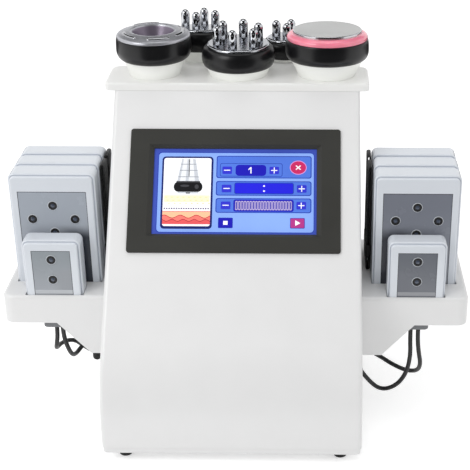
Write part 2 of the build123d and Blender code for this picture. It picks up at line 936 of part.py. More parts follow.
def build_wing(side):
    # Hollow side shelf with a gusset below and a shallow pocket for the foot of each pad
    name = "left_wing" if side < 0 else "right_wing"
    wing_middle_y = (wing_rear - wing_front) / 2
    wing_half_depth = (wing_rear + wing_front) / 2
    wing_plane = Plane.XZ.offset(-wing_middle_y)
    with BuildPart() as wing:
        with BuildSketch(wing_plane):
            with BuildLine():
                Polyline(
                    (side * inner_half, gusset_bottom),
                    (side * gusset_foot, gusset_bottom),
                    (side * gusset_head, wing_underside),
                    (side * wing_reach, wing_underside),
                    (side * wing_reach, wing_floor),
                    (side * inner_half, wing_floor),
                    close=True,
                )
            make_face()
        extrude(amount=wing_half_depth, both=True)
        outer_corners = wing.edges().filter_by(Axis.Z).sort_by(Axis.X)
        fillet(outer_corners[:2] if side < 0 else outer_corners[-2:], wing_corner_radius)
        fillet(wing.faces().sort_by(Axis.Z)[-1].edges(), wing_edge_radius)
        add(case_envelope.part, mode=Mode.SUBTRACT)
        with BuildSketch(wing_plane):
            with BuildLine():
                Polyline(
                    (side * case_half, gusset_bottom),
                    (side * gusset_foot, gusset_bottom),
                    (side * gusset_head, wing_underside),
                    (side * wing_reach, wing_underside),
                    (side * wing_reach, wing_floor - pocket_depth),
                    (side * case_half, wing_floor - pocket_depth),
                    close=True,
                )
            make_face()
            offset(amount=-wing_wall)
        extrude(amount=wing_half_depth - wing_end_wall, both=True, mode=Mode.SUBTRACT)
        for pad_name, width, height, depth, front in pad_places(side):
            with BuildSketch(Plane.XY.offset(pocket_floor)):
                with Locations((side * pad_x, front + depth / 2)):
                    Rectangle(width + 2 * pocket_gap, depth + 2 * pocket_gap)
            extrude(amount=pocket_depth + overrun, mode=Mode.SUBTRACT)
        with BuildSketch(Plane.XY.offset(outlet_bottom - overrun)):
            with Locations(
                (side * (outlet_inner + outlet_width / 2), -wing_front + wing_wall + outlet_length / 2)
            ):
                RectangleRounded(outlet_width, outlet_length, outlet_corner_radius)
        extrude(amount=wing_underside + wing_wall - outlet_bottom + overrun, mode=Mode.SUBTRACT)
    wing.part.label = name
    export_step(wing.part, f"parts/{name}.step")


for side in (-1, 1):
    build_wing(side)

# Cord outlets: a grey plate through the underside of each wing
with BuildPart() as cord_outlets:
    with BuildSketch(Plane.XY.offset(outlet_bottom)):
        for side in (-1, 1):
            with Locations(
                (side * (outlet_inner + outlet_width / 2), -wing_front + wing_wall + outlet_length / 2)
            ):
                RectangleRounded(outlet_width, outlet_length, outlet_corner_radius)
    extrude(amount=wing_underside + wing_wall - outlet_bottom)
    fillet(cord_outlets.edges().group_by(Axis.Z)[0], edge_softening)
cord_outlets.part.label = "cord_outlets"
export_step(cord_outlets.part, "parts/cord_outlets.step")


def build_pad(name, side, size, window, lenses):
    # White housing with a raised front frame, hollow behind its window, and the grey window
    width, height, depth, front = size
    window_span, window_rise, window_drop = window
    base = pocket_floor + pad_running_gap
    top = wing_floor + height
    middle_z = (base + top) / 2
    full_height = top - base
    center_x = side * pad_x
    window_z = top - window_drop - window_rise / 2
    rear_side = Plane.XZ.offset(-(front + depth))
    step_side = Plane.XZ.offset(-(front + pad_frame_depth))
    front_side = Plane.XZ.offset(-front)
    with BuildPart() as housing:
        with BuildSketch(rear_side):
            with Locations((center_x, middle_z)):
                RectangleRounded(width, full_height, pad_corner_radius)
        extrude(amount=depth - pad_frame_depth)
        fillet(housing.faces().sort_by(Axis.Y)[-1].edges(), pad_rear_rounding)
        fillet(housing.faces().sort_by(Axis.Y)[0].edges(), pad_front_rounding)
        with BuildSketch(step_side):
            with Locations((center_x, middle_z)):
                RectangleRounded(
                    width - 2 * pad_frame_inset,
                    full_height - 2 * pad_frame_inset,
                    pad_corner_radius - pad_frame_inset,
                )
        extrude(amount=pad_frame_depth)
        fillet(housing.faces().sort_by(Axis.Y)[0].edges(), pad_front_rounding)
        with BuildSketch(Plane.XZ.offset(-(front + depth - pad_wall))):
            with Locations((center_x, window_z)):
                Rectangle(window_span - 2 * window_ledge, window_rise - 2 * window_ledge)
        extrude(amount=depth, mode=Mode.SUBTRACT)
        with BuildSketch(front_side.offset(-window_recess)):
            with Locations((center_x, window_z)):
                Rectangle(window_span, window_rise)
        extrude(amount=window_recess + overrun, mode=Mode.SUBTRACT)
    housing.part.label = f"{name}_housing"
    export_step(housing.part, f"parts/{name}_housing.step")
    lens_places = [(center_x + across, top + up) for across, up in lenses]
    with BuildPart() as window_plate:
        with BuildSketch(front_side.offset(-window_recess)):
            with Locations((center_x, window_z)):
                Rectangle(window_span, window_rise)
        extrude(amount=window_thickness)
        with BuildSketch(front_side.offset(window_thickness - window_recess)):
            with Locations(*lens_places):
                Circle(lens_radius)
        extrude(amount=lens_rise)
        with BuildSketch(front_side.offset(window_thickness - window_recess + lens_rise)):
            with Locations(*lens_places):
                Circle(lens_bore_radius)
        extrude(amount=-lens_bore_depth, mode=Mode.SUBTRACT)
    window_plate.part.label = f"{name}_window"
    export_step(window_plate.part, f"parts/{name}_window.step")


large_lenses = [
    (0, -large_lens_drop + large_lens_rise),
    (0, -large_lens_drop - large_lens_rise),
    (-large_lens_spread, -large_lens_drop),
    (large_lens_spread, -large_lens_drop),
]
small_lenses = [
    (0, -small_lens_drop + small_lens_rise),
    (0, -small_lens_drop - small_lens_rise),
]
large_window = (large_window_width, large_window_height, large_window_drop)
small_window = (small_window_width, small_window_height, small_window_drop)
for side in (-1, 1):
    for pad_name, width, height, depth, front in pad_places(side):
        is_small = "small" in pad_name
        build_pad(
            pad_name,
            side,
            (width, height, depth, front),
            small_window if is_small else large_window,
            small_lenses if is_small else large_lenses,
        )

# Folded elastic straps beside the second and third large pads
strap_outer_x = pad_x - large_pad_width / 2 - strap_gap
for side, name in ((-1, "left_straps"), (1, "right_straps")):
    strap_x = side * (strap_outer_x - strap_loop_width / 2)
    with BuildPart() as straps:
        for row in range(1, strap_count + 1):
            middle_y = -large_pad_front + row * large_pad_pitch + large_pad_depth / 2
            with BuildSketch(Plane.XZ.offset(-middle_y)):
                with Locations((strap_x, wing_floor + strap_loop_height / 2)):
                    SlotOverall(strap_loop_height, strap_loop_width, rotation=90)
                    SlotOverall(
                        strap_loop_height - 2 * strap_thickness,
                        strap_loop_width - 2 * strap_thickness,
                        rotation=90,
                        mode=Mode.SUBTRACT,
                    )
            extrude(amount=strap_band_width / 2, both=True)
    straps.part.label = name
    export_step(straps.part, f"parts/{name}.step")

# Routes of the pad leads, from the wing outlets to the domes on the case's sides
lead_routes = {
    "right_lead_front": [
        (195.0, -68.0, 106.5),
        (195.0, -68.0, 90.0),
        (196.4, -67.4, 66.0),
        (192.6, -66.6, 43.0),
        (182.0, -66.2, 26.0),
        (165.5, -66.4, 20.0),
        (151.0, -66.6, 31.0),
        (140.8, -67.0, 46.5),
    ],
    "right_lead_rear": [
        (203.0, -72.0, 106.5),
        (203.0, -72.0, 92.0),
        (204.8, -72.4, 75.0),
        (208.0, -70.0, 58.0),
        (206.0, -61.0, 43.0),
        (194.5, -50.0, 36.0),
        (179.0, -43.5, 40.0),
        (164.5, -40.6, 49.0),
        (152.0, -39.6, 56.0),
        (140.8, -39.4, 61.0),
    ],
    "left_lead_front": [
        (-201.0, -70.0, 106.5),
        (-201.0, -70.0, 93.0),
        (-203.8, -68.6, 78.0),
        (-207.0, -58.0, 67.5),
        (-204.0, -42.0, 66.0),
        (-193.0, -29.0, 63.0),
        (-181.0, -24.0, 49.0),
        (-167.0, -22.4, 39.0),
        (-152.0, -21.2, 42.5),
        (-140.8, -20.4, 51.0),
    ],
    "left_lead_rear": [
        (-194.0, -72.0, 106.5),
        (-194.0, -72.0, 93.0),
        (-191.0, -71.0, 77.0),
        (-188.5, -63.0, 62.0),
        (-187.0, -49.0, 55.0),
        (-181.0, -37.0, 60.0),
        (-168.0, -33.0, 67.0),
        (-153.0, -34.0, 66.0),
        (-140.8, -35.0, 61.0),
    ],
}


def route_radii(points):
    # Each corner's arc takes the same share of the shorter of its two runs
    radii = []
    for before, corner, after in zip(points, points[1:], points[2:]):
        run_in = Vector(*corner) - Vector(*before)
        run_out = Vector(*after) - Vector(*corner)
        half_turn = math.radians(run_in.get_angle(run_out)) / 2
        shorter = min(run_in.length, run_out.length)
        radii.append(lead_arc_share * shorter / math.tan(half_turn))
    return radii


for name, points in lead_routes.items():
    radii = route_radii(points)
    with BuildPart() as lead:
        with BuildLine() as route:
            FilletPolyline(*points, radius=radii)
        start = route.wire().position_at(0)
        heading = route.wire().tangent_at(0)
        with BuildSketch(Plane(origin=start, z_dir=heading)):
            Circle(lead_diameter / 2)
        sweep(path=route.wire())
    lead.part.label = name
    export_step(lead.part, f"parts/{name}.step")
    section = math.pi * lead_diameter**2 / 4
    print(name, "length", round(route.wire().length, 1), "smallest radius", round(min(radii), 1))
    print("  radii", [round(radius, 1) for radius in radii])
    print("  volume over section times length", lead.part.volume / (section * route.wire().length))


def is_outer_rim(edge):
    # The round edge of a dome's free end
    return abs(edge.center().X) > case_half and edge.geom_type == GeomType.CIRCLE


# Rubber gland that hangs under the left gusset
with BuildPart() as gusset_gland:
    with BuildSketch(Plane.XY.offset(gusset_bottom)):
        with Locations((gland_x, -wing_front + gland_inset)):
            Circle(gland_radius)
    extrude(amount=-gland_drop)
    fillet(gusset_gland.edges().group_by(Axis.Z)[0], dome_rounding)

# Rubber domes on the case's sides, where the leads go in
with BuildPart() as lead_domes:
    for points in lead_routes.values():
        end = Vector(*points[-1])
        side = math.copysign(1, end.X)
        dome_plane = Plane(
            origin=(side * inner_half, end.Y, end.Z), x_dir=(0, 1, 0), z_dir=(side, 0, 0)
        )
        with BuildSketch(dome_plane):
            Circle(dome_radius)
        extrude(amount=case_half + dome_rise - inner_half)
    fillet(lead_domes.edges().filter_by(is_outer_rim), dome_rounding)
    add(case_envelope.part, mode=Mode.SUBTRACT)
    add(gusset_gland.part)
lead_domes.part.label = "lead_domes"
export_step(lead_domes.part, "parts/lead_domes.step")

# Applicator sockets in a row across the rear panel
with BuildPart() as handle_sockets:
    with BuildSketch(rear_plane):
        with Locations(*socket_places):
            Circle(socket_barrel_radius)
    extrude(amount=socket_barrel_length)
    with BuildSketch(rear_plane):
        with Locations(*socket_places):
            Circle(socket_flange_radius)
    extrude(amount=-socket_flange_thickness)
    with BuildSketch(rear_plane.offset(-socket_flange_thickness)):
        with Locations(*socket_places):
            Circle(socket_barrel_radius)
    extrude(amount=-socket_nose_length)
    with BuildSketch(rear_plane.offset(-(socket_flange_thickness + socket_nose_length))):
        with Locations(*socket_places):
            Circle(socket_dish_radius)
    extrude(amount=socket_dish_depth, mode=Mode.SUBTRACT)
handle_sockets.part.label = "handle_sockets"
export_step(handle_sockets.part, "parts/handle_sockets.step")

# Mains inlet: flanged body with a three-blade socket below and the switch well above
inlet_socket_z = inlet_z - inlet_socket_drop
switch_z = inlet_z + switch_rise
outside_of_flange = rear_plane.offset(-inlet_flange_thickness)
blade_places = [
    (inlet_x - inlet_blade_spread, inlet_socket_z - inlet_blade_rise / 2),
    (inlet_x, inlet_socket_z + inlet_blade_rise / 2),
    (inlet_x + inlet_blade_spread, inlet_socket_z - inlet_blade_rise / 2),
]
with BuildPart() as mains_inlet:
    with BuildSketch(rear_plane):
        with Locations((inlet_x, inlet_z)):
            Rectangle(inlet_body_width, inlet_body_height)
    extrude(amount=inlet_body_depth)
    with BuildSketch(rear_plane):
        with Locations((inlet_x, inlet_z)):
            RectangleRounded(inlet_flange_width, inlet_flange_height, base_corner_radius)
    extrude(amount=-inlet_flange_thickness)
    with BuildSketch(outside_of_flange):
        with Locations((inlet_x, inlet_socket_z)):
            Rectangle(inlet_socket_width, inlet_socket_height)
    extrude(amount=inlet_socket_depth, mode=Mode.SUBTRACT)
    with BuildSketch(outside_of_flange):
        with Locations((inlet_x, switch_z)):
            Rectangle(switch_width, switch_height)
    extrude(amount=switch_well_depth, mode=Mode.SUBTRACT)
    with BuildSketch(outside_of_flange.offset(inlet_socket_depth)):
        with Locations(*blade_places):
            Rectangle(inlet_blade_width, inlet_blade_height)
    extrude(amount=-inlet_blade_length)
mains_inlet.part.label = "mains_inlet"
export_step(mains_inlet.part, "parts/mains_inlet.step")

# Power rocker: a shallow V that tips about a pin across its middle
rocker_face = case_rear + inlet_flange_thickness + rocker_proud
rocker_tip = rocker_face + rocker_proud / 2
rocker_back = rocker_face - rocker_depth
with BuildPart() as power_rocker:
    with BuildSketch(Plane.YZ.offset(inlet_x)):
        with BuildLine():
            Polyline(
                (rocker_back, switch_z - rocker_height / 2),
                (rocker_tip, switch_z - rocker_height / 2),
                (rocker_face - rocker_proud / 2, switch_z),
                (rocker_tip, switch_z + rocker_height / 2),
                (rocker_back, switch_z + rocker_height / 2),
                close=True,
            )
        make_face()
    extrude(amount=rocker_width / 2, both=True)
power_rocker.part.label = "power_rocker"
export_step(power_rocker.part, "parts/power_rocker.step")

# Fan: square frame with a round duct, struts and motor seat against the rear panel
fan_plane = Plane(origin=(fan_x, panel_inside, fan_z), x_dir=(1, 0, 0), z_dir=(0, -1, 0))
with BuildPart() as fan_frame:
    with BuildSketch(fan_plane):
        RectangleRounded(fan_size, fan_size, base_corner_radius)
        Circle(fan_bore_radius, mode=Mode.SUBTRACT)
    extrude(amount=fan_depth)
    with BuildSketch(fan_plane):
        Circle(fan_motor_radius)
        Rectangle(fan_strut_width, fan_size - base_corner_radius)
        Rectangle(fan_size - base_corner_radius, fan_strut_width)
    extrude(amount=fan_motor_depth)
fan_frame.part.label = "fan_frame"
export_step(fan_frame.part, "parts/fan_frame.step")

rotor_front = fan_plane.offset(fan_motor_depth + running_gap)
rotor_depth = fan_depth - fan_motor_depth - 2 * running_gap
with BuildPart() as fan_rotor:
    with BuildSketch(rotor_front):
        Circle(fan_hub_radius)
    extrude(amount=rotor_depth)
    blade_middle = rotor_front.offset(rotor_depth / 2)
    blade_start = fan_hub_radius - fan_blade_thickness
    blade_length = fan_blade_tip_radius - blade_start
    for blade in range(fan_blade_count):
        turn = math.degrees(2 * math.pi) * blade / fan_blade_count
        spoke = turned(blade_middle, blade_middle.z_dir, turn)
        blade_plane = Plane(
            origin=spoke.origin + spoke.x_dir * blade_start,
            x_dir=spoke.y_dir,
            z_dir=spoke.x_dir,
        )
        with BuildSketch(blade_plane):
            Rectangle(fan_blade_thickness, fan_blade_depth, rotation=fan_blade_pitch_angle)
        extrude(amount=blade_length)
fan_rotor.part.label = "fan_rotor"
export_step(fan_rotor.part, "parts/fan_rotor.step")

# Vacuum pump: motor barrel, square pump head, foot, and a nozzle through the rear panel
pump_rear = panel_inside - pump_rear_gap
pump_plane = Plane(origin=(pump_x, pump_rear, pump_axis_z), x_dir=(1, 0, 0), z_dir=(0, -1, 0))
nozzle_end = case_rear + socket_flange_thickness + socket_nose_length - pump_rear
with BuildPart() as vacuum_pump:
    with BuildSketch(pump_plane):
        RectangleRounded(pump_head_size, pump_head_size, base_corner_radius)
    extrude(amount=pump_head_depth)
    with BuildSketch(pump_plane.offset(pump_head_depth)):
        Circle(pump_radius)
    extrude(amount=pump_length - pump_head_depth)
    with BuildSketch(Plane.XY.offset(case_bottom)):
        with Locations((pump_x, pump_rear - pump_length / 2)):
            Rectangle(pump_foot_width, pump_length - pump_head_depth)
    extrude(amount=pump_axis_z - pump_radius / 2 - case_bottom)
    with BuildSketch(pump_plane):
        Circle(nozzle_radius)
    extrude(amount=-nozzle_end)
    with BuildSketch(pump_plane.offset(-(nozzle_end - nozzle_barb_length))):
        Circle(nozzle_barb_radius)
    extrude(amount=nozzle_barb_length)
    with BuildSketch(pump_plane.offset(-nozzle_end)):
        Circle(nozzle_bore_radius)
    extrude(amount=pump_rear_gap, mode=Mode.SUBTRACT)
vacuum_pump.part.label = "vacuum_pump"
export_step(vacuum_pump.part, "parts/vacuum_pump.step")

# Control board on its posts, with a finned heat sink and two large chips
fin_pitch = board_sink_width / board_fin_count
with BuildPart() as control_board:
    with BuildSketch(Plane.XY.offset(board_z)):
        with Locations((0, board_y)):
            Rectangle(board_width, board_depth)
    extrude(amount=board_thickness)
    with BuildSketch(Plane.XY.offset(board_z + board_thickness)):
        with Locations((0, board_y)):
            Rectangle(board_sink_width, board_sink_depth)
        with Locations((-board_sink_width, board_y), (board_sink_width, board_y)):
            Rectangle(board_chip_size, board_chip_size)
    extrude(amount=board_chip_height)
    fin_base = board_z + board_thickness + board_chip_height
    with BuildSketch(Plane.XY.offset(fin_base)):
        with Locations((0, board_y)):
            with GridLocations(fin_pitch, 0, board_fin_count, 1):
                Rectangle(fin_pitch * board_fin_gap_share, board_sink_depth)
    extrude(amount=board_sink_height - board_chip_height)
control_board.part.label = "control_board"
export_step(control_board.part, "parts/control_board.step")

# Power supply: a sheet-metal box with a slotted lid
with BuildPart() as power_supply:
    with BuildSketch(Plane.XY.offset(case_bottom)):
        with Locations((supply_x, supply_y)):
            Rectangle(supply_width, supply_length)
    extrude(amount=supply_height)
    with BuildSketch(Plane.XY.offset(case_bottom + supply_wall)):
        with Locations((supply_x, supply_y)):
            Rectangle(supply_width - 2 * supply_wall, supply_length - 2 * supply_wall)
    extrude(amount=supply_height - 2 * supply_wall, mode=Mode.SUBTRACT)
    with BuildSketch(Plane.XY.offset(case_bottom + supply_height)):
        with Locations((supply_x, supply_y)):
            with GridLocations(0, supply_slot_pitch, 1, supply_slot_count):
                SlotOverall(supply_slot_length, supply_slot_width)
    extrude(amount=-supply_wall, mode=Mode.SUBTRACT)
power_supply.part.label = "power_supply"
export_step(power_supply.part, "parts/power_supply.step")

# Screws that hold the rear panel
with BuildPart() as panel_screws:
    with BuildSketch(rear_plane):
        with Locations(*screw_places):
            Circle(screw_head_radius)
    extrude(amount=-screw_head_height)
    fillet(panel_screws.edges().group_by(Axis.Y)[-1], edge_softening)
    with BuildSketch(rear_plane):
        with Locations(*screw_places):
            Circle(screw_shank_radius)
    extrude(amount=screw_length)
    with BuildSketch(rear_plane.offset(-screw_head_height)):
        with Locations(*screw_places):
            Rectangle(screw_drive_length, screw_drive_width)
            Rectangle(screw_drive_width, screw_drive_length)
    extrude(amount=screw_drive_depth, mode=Mode.SUBTRACT)
panel_screws.part.label = "panel_screws"
export_step(panel_screws.part, "parts/panel_screws.step")
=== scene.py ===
import bmesh
import bpy
import math
from collections import namedtuple
from mathutils import Matrix, Vector


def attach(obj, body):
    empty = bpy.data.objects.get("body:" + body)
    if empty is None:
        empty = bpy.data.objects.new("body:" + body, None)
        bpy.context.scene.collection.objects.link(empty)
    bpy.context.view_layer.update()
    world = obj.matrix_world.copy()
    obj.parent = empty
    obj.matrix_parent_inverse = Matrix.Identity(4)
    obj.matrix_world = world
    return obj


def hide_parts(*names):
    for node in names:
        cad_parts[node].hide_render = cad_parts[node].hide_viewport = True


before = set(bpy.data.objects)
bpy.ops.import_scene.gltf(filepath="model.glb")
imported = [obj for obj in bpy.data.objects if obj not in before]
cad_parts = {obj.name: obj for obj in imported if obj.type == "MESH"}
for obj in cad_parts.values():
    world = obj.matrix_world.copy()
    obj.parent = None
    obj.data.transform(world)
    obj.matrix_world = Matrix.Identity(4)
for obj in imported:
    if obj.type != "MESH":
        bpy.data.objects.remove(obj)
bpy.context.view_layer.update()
MM = 0.001

# Camera fitted to the photograph: focal length and centre in its pixels, place in metres
PHOTO_SIZE = 470.0
FOCAL_LENGTH = 1181.43
CENTRE_ACROSS = 292.55
SENSOR_WIDTH = 36.0
NEAR_CLIP = 0.05
CAMERA_PLACE = (0.0833, -1.2156, 0.7674)
CAMERA_PITCH, CAMERA_YAW, CAMERA_ROLL = 25.6, -1.0, 0.1


def make_camera():
    data = bpy.data.cameras.new("camera")
    data.sensor_width = SENSOR_WIDTH
    data.lens = SENSOR_WIDTH * FOCAL_LENGTH / PHOTO_SIZE
    data.shift_x = (PHOTO_SIZE / 2 - CENTRE_ACROSS) / PHOTO_SIZE
    data.clip_start = NEAR_CLIP
    camera = bpy.data.objects.new("camera", data)
    pitch, yaw, roll = (math.radians(a) for a in (CAMERA_PITCH, CAMERA_YAW, CAMERA_ROLL))
    forward = Vector(
        (math.sin(yaw) * math.cos(pitch), math.cos(yaw) * math.cos(pitch), -math.sin(pitch))
    )
    right = Vector((math.cos(yaw), -math.sin(yaw), 0.0))
    down = forward.cross(right)
    right_rolled = right * math.cos(roll) + down * math.sin(roll)
    down_rolled = down * math.cos(roll) - right * math.sin(roll)
    basis = Matrix((right_rolled, -down_rolled, -forward)).transposed()
    camera.matrix_world = Matrix.Translation(CAMERA_PLACE) @ basis.to_4x4()
    bpy.context.scene.collection.objects.link(camera)
    bpy.context.scene.camera = camera


make_camera()


# Materials: their colours are sRGB levels from 0 to 255
GRAIN_DEPTH = 0.0004
LEAST_ROUGHNESS = 0.02
SCATTER_REACH = 0.004
# Where the windows' painted reflections lie: a paler foot and a patch in the inner lower corner
WINDOW_FADE_START = 0.1
WINDOW_DEEP_SHARES = (0.34, 0.5)
WINDOW_INNER_SHARES = (0.42, 0.78)


def linear(color):
    shares = [level / 255 for level in color]
    return tuple(
        share / 12.92 if share <= 0.04045 else ((share + 0.055) / 1.055) ** 2.4 for share in shares
    ) + (1.0,)


def new_material(name):
    material = bpy.data.materials.new(name)
    material.use_nodes = True
    return material


def tree_of(material):
    nodes, links = material.node_tree.nodes, material.node_tree.links
    return nodes, links, nodes["Principled BSDF"]


def set_inputs(node, values):
    for socket, value in values.items():
        node.inputs[socket].default_value = value


def object_place(nodes):
    return nodes.new("ShaderNodeTexCoord").outputs["Object"]


def add_noise(nodes, links, place, scale, detail=2.0):
    noise = nodes.new("ShaderNodeTexNoise")
    set_inputs(noise, {"Scale": scale, "Detail": detail})
    links.new(place, noise.inputs["Vector"])
    return noise.outputs["Fac"]


def add_shades(nodes, links, source, color, positions, darker, lighter):
    # Colour that drifts between a darker and a lighter share of itself as the source does
    ramp = nodes.new("ShaderNodeValToRGB")
    base = linear(color)[:3]
    for element, position, share in zip(ramp.color_ramp.elements, positions, (darker, lighter)):
        element.position = position
        element.color = tuple(min(1.0, c * share) for c in base) + (1.0,)
    links.new(source, ramp.inputs["Fac"])
    return ramp.outputs["Color"]


def add_bump(nodes, links, height, shader, strength, distance):
    bump = nodes.new("ShaderNodeBump")
    set_inputs(bump, {"Strength": strength, "Distance": distance})
    links.new(height, bump.inputs["Height"])
    links.new(bump.outputs["Normal"], shader.inputs["Normal"])


def add_math(nodes, links, operation, first, second):
    made = nodes.new("ShaderNodeMath")
    made.operation = operation
    links.new(first, made.inputs[0])
    links.new(second, made.inputs[1])
    return made.outputs["Value"]


def make_material(
    name,
    color,
    roughness,
    metallic=0.0,
    mottle=0.04,
    mottle_scale=25.0,
    grain=0.02,
    grain_scale=900.0,
    roughness_spread=0.06,
    coat=0.0,
    coat_roughness=0.1,
    glow=0.0,
    sheen=0.0,
    specular=0.5,
    subsurface=0.0,
):
    # Moulded, painted or metal surface: slow mottling of the colour, fine grain in the bump
    material = new_material(name)
    nodes, links, shader = tree_of(material)
    place = object_place(nodes)
    slow = add_noise(nodes, links, place, mottle_scale, 4.0)
    fine = add_noise(nodes, links, place, grain_scale)
    shades = add_shades(nodes, links, slow, color, (0.3, 0.7), 1 - mottle, 1 + mottle)
    links.new(shades, shader.inputs["Base Color"])
    spread = nodes.new("ShaderNodeMapRange")
    spread.inputs["To Min"].default_value = max(LEAST_ROUGHNESS, roughness - roughness_spread)
    spread.inputs["To Max"].default_value = min(1.0, roughness + roughness_spread)
    links.new(slow, spread.inputs["Value"])
    links.new(spread.outputs["Result"], shader.inputs["Roughness"])
    add_bump(nodes, links, fine, shader, grain, GRAIN_DEPTH)
    set_inputs(
        shader,
        {
            "Metallic": metallic,
            "Specular IOR Level": specular,
            "Coat Weight": coat,
            "Coat Roughness": coat_roughness,
            "Sheen Weight": sheen,
            "Subsurface Weight": subsurface,
        },
    )
    if subsurface:
        shader.inputs["Subsurface Scale"].default_value = SCATTER_REACH
    if glow:
        links.new(shades, shader.inputs["Emission Color"])
        shader.inputs["Emission Strength"].default_value = glow
    return material


case_white = make_material("case_white", (240, 240, 240), 0.34, mottle=0.01, coat=0.2)
# Tray and handle whites: the case white with a glow of its own, painted light that brightens them
tray_white = make_material("tray_white", (245, 245, 243), 0.34, mottle=0.01, coat=0.2, glow=0.05)
handle_white = make_material(
    "handle_white", (246, 247, 243), 0.34, mottle=0.01, coat=0.2, glow=0.09
)
pad_white = make_material(
    "pad_white",
    (226, 231, 238),
    0.26,
    mottle=0.006,
    roughness_spread=0.0,
    coat=0.4,
    coat_roughness=0.08,
)
# Painted shadow line for the ledge where each pad's front frame meets its housing
frame_shadow_grey = make_material("pad_frame_shadow", (184, 190, 202), 0.5, mottle=0.02)
bezel_grey = make_material(
    "bezel_grey", (62, 62, 59), 0.5, mottle=0.05, grain=0.06, specular=0.16
)
grip_black = make_material(
    "grip_black", (19, 19, 21), 0.3, mottle=0.1, grain=0.01, specular=0.4
)
polish = {"metallic": 1.0, "mottle": 0.02, "grain": 0.0, "roughness_spread": 0.03}
# Arc chrome: a darker copy of the electrode chrome, a painted dark reflection on the vacuum arcs
arc_chrome = make_material("arc_chrome", (176, 177, 181), 0.05, **polish)
chrome = make_material("electrode_chrome", (200, 202, 206), 0.07, **polish)
plate_silver = make_material(
    "plate_silver", (190, 192, 197), 0.2, metallic=1.0, mottle=0.04, grain=0.01
)
ring_silver = make_material(
    "ring_silver",
    (188, 189, 195),
    0.36,
    metallic=0.7,
    mottle=0.05,
    mottle_scale=300.0,
    grain=0.05,
)
cup_mauve = make_material("cup_mauve", (128, 118, 134), 0.32, metallic=0.4, mottle=0.06)
foot_black = make_material("foot_black", (26, 26, 27), 0.7, mottle=0.15, grain=0.12)
lead_black = make_material("lead_black", (24, 24, 26), 0.38, mottle=0.12, grain=0.05)
outlet_grey = make_material("outlet_grey", (122, 124, 127), 0.5, mottle=0.05, grain=0.08)
black_plastic = make_material("black_plastic", (30, 30, 32), 0.48, mottle=0.08, grain=0.1)
rear_white = make_material("rear_white", (222, 224, 225), 0.5, mottle=0.02, grain=0.09)
steel = make_material("screw_steel", (168, 170, 173), 0.3, metallic=1.0, mottle=0.06)
sheet_metal = make_material("sheet_metal", (182, 184, 187), 0.42, metallic=1.0, mottle=0.05)
board_green = make_material("board_green", (28, 92, 52), 0.45, mottle=0.15, mottle_scale=160.0)
light_pink = make_material(
    "light_ring_pink",
    (233, 132, 153),
    0.22,
    mottle=0.08,
    mottle_scale=40.0,
    glow=0.16,
    coat=0.5,
    subsurface=0.3,
)
lens_grey = make_material("lens_grey", (72, 80, 96), 0.18, mottle=0.05, coat=0.6)
lens_halo = make_material("lens_halo", (206, 211, 217), 0.3, mottle=0.03)
window_edge = make_material("window_edge", (46, 49, 57), 0.4, mottle=0.03)
# Feet of the small windows: painted light, a lighter band that is paler on the left pads than on
# the right
lit_foot_strip_left = make_material("small_window_lit_foot_left", (194, 198, 203), 0.3, mottle=0.02)
shaded_foot_strip_right = make_material("small_window_shaded_foot_right", (158, 160, 165), 0.3, mottle=0.02)


def window_material(name, base, foot_reflection, corner_reflection, solid, inward):
    # Window sheet with painted reflections: paler toward its foot, and another colour in the lower
    # corner beside the case, dark on the large windows
    material = make_material(name, base, 0.26, mottle=0.015, coat=0.1, specular=0.35)
    nodes, links, shader = tree_of(material)
    split = nodes.new("ShaderNodeSeparateXYZ")
    links.new(object_place(nodes), split.inputs["Vector"])
    xs = [corner[0] for corner in solid.bound_box]
    zs = [corner[2] for corner in solid.bound_box]
    inner, outer = (max(xs), min(xs)) if inward > 0 else (min(xs), max(xs))
    foot, head = min(zs), max(zs)

    def ramp(output, start, end):
        made = nodes.new("ShaderNodeMapRange")
        made.interpolation_type = "SMOOTHSTEP"
        set_inputs(made, {"From Min": start, "From Max": end})
        links.new(split.outputs[output], made.inputs["Value"])
        return made.outputs["Result"]

    down = ramp("Z", head - WINDOW_FADE_START * (head - foot), foot)
    deep = ramp("Z", *(head - share * (head - foot) for share in WINDOW_DEEP_SHARES))
    across = ramp("X", *(outer + share * (inner - outer) for share in WINDOW_INNER_SHARES))
    low_corner = add_math(nodes, links, "MULTIPLY", deep, across)
    shade = shader.inputs["Base Color"].links[0].from_socket
    for factor, color in ((down, foot_reflection), (low_corner, corner_reflection)):
        mix = nodes.new("ShaderNodeMix")
        mix.data_type = "RGBA"
        links.new(factor, mix.inputs["Factor"])
        links.new(shade, mix.inputs["A"])
        mix.inputs["B"].default_value = linear(color)
        shade = mix.outputs["Result"]
    links.new(shade, shader.inputs["Base Color"])
    return material


def brushed_disc(name, color, centre):
    # Turned metal face: fine rings about the disc's own axis
    material = make_material(name, color, 0.3, metallic=1.0, mottle=0.03, grain=0.0)
    nodes, links, shader = tree_of(material)
    shift = nodes.new("ShaderNodeVectorMath")
    shift.operation = "SUBTRACT"
    shift.inputs[1].default_value = centre
    rings = nodes.new("ShaderNodeTexWave")
    rings.wave_type = "RINGS"
    rings.rings_direction = "Z"
    set_inputs(rings, {"Scale": 700.0, "Distortion": 1.2})
    links.new(object_place(nodes), shift.inputs[0])
    links.new(shift.outputs["Vector"], rings.inputs["Vector"])
    add_bump(nodes, links, rings.outputs["Fac"], shader, strength=0.05, distance=0.0002)
    return material


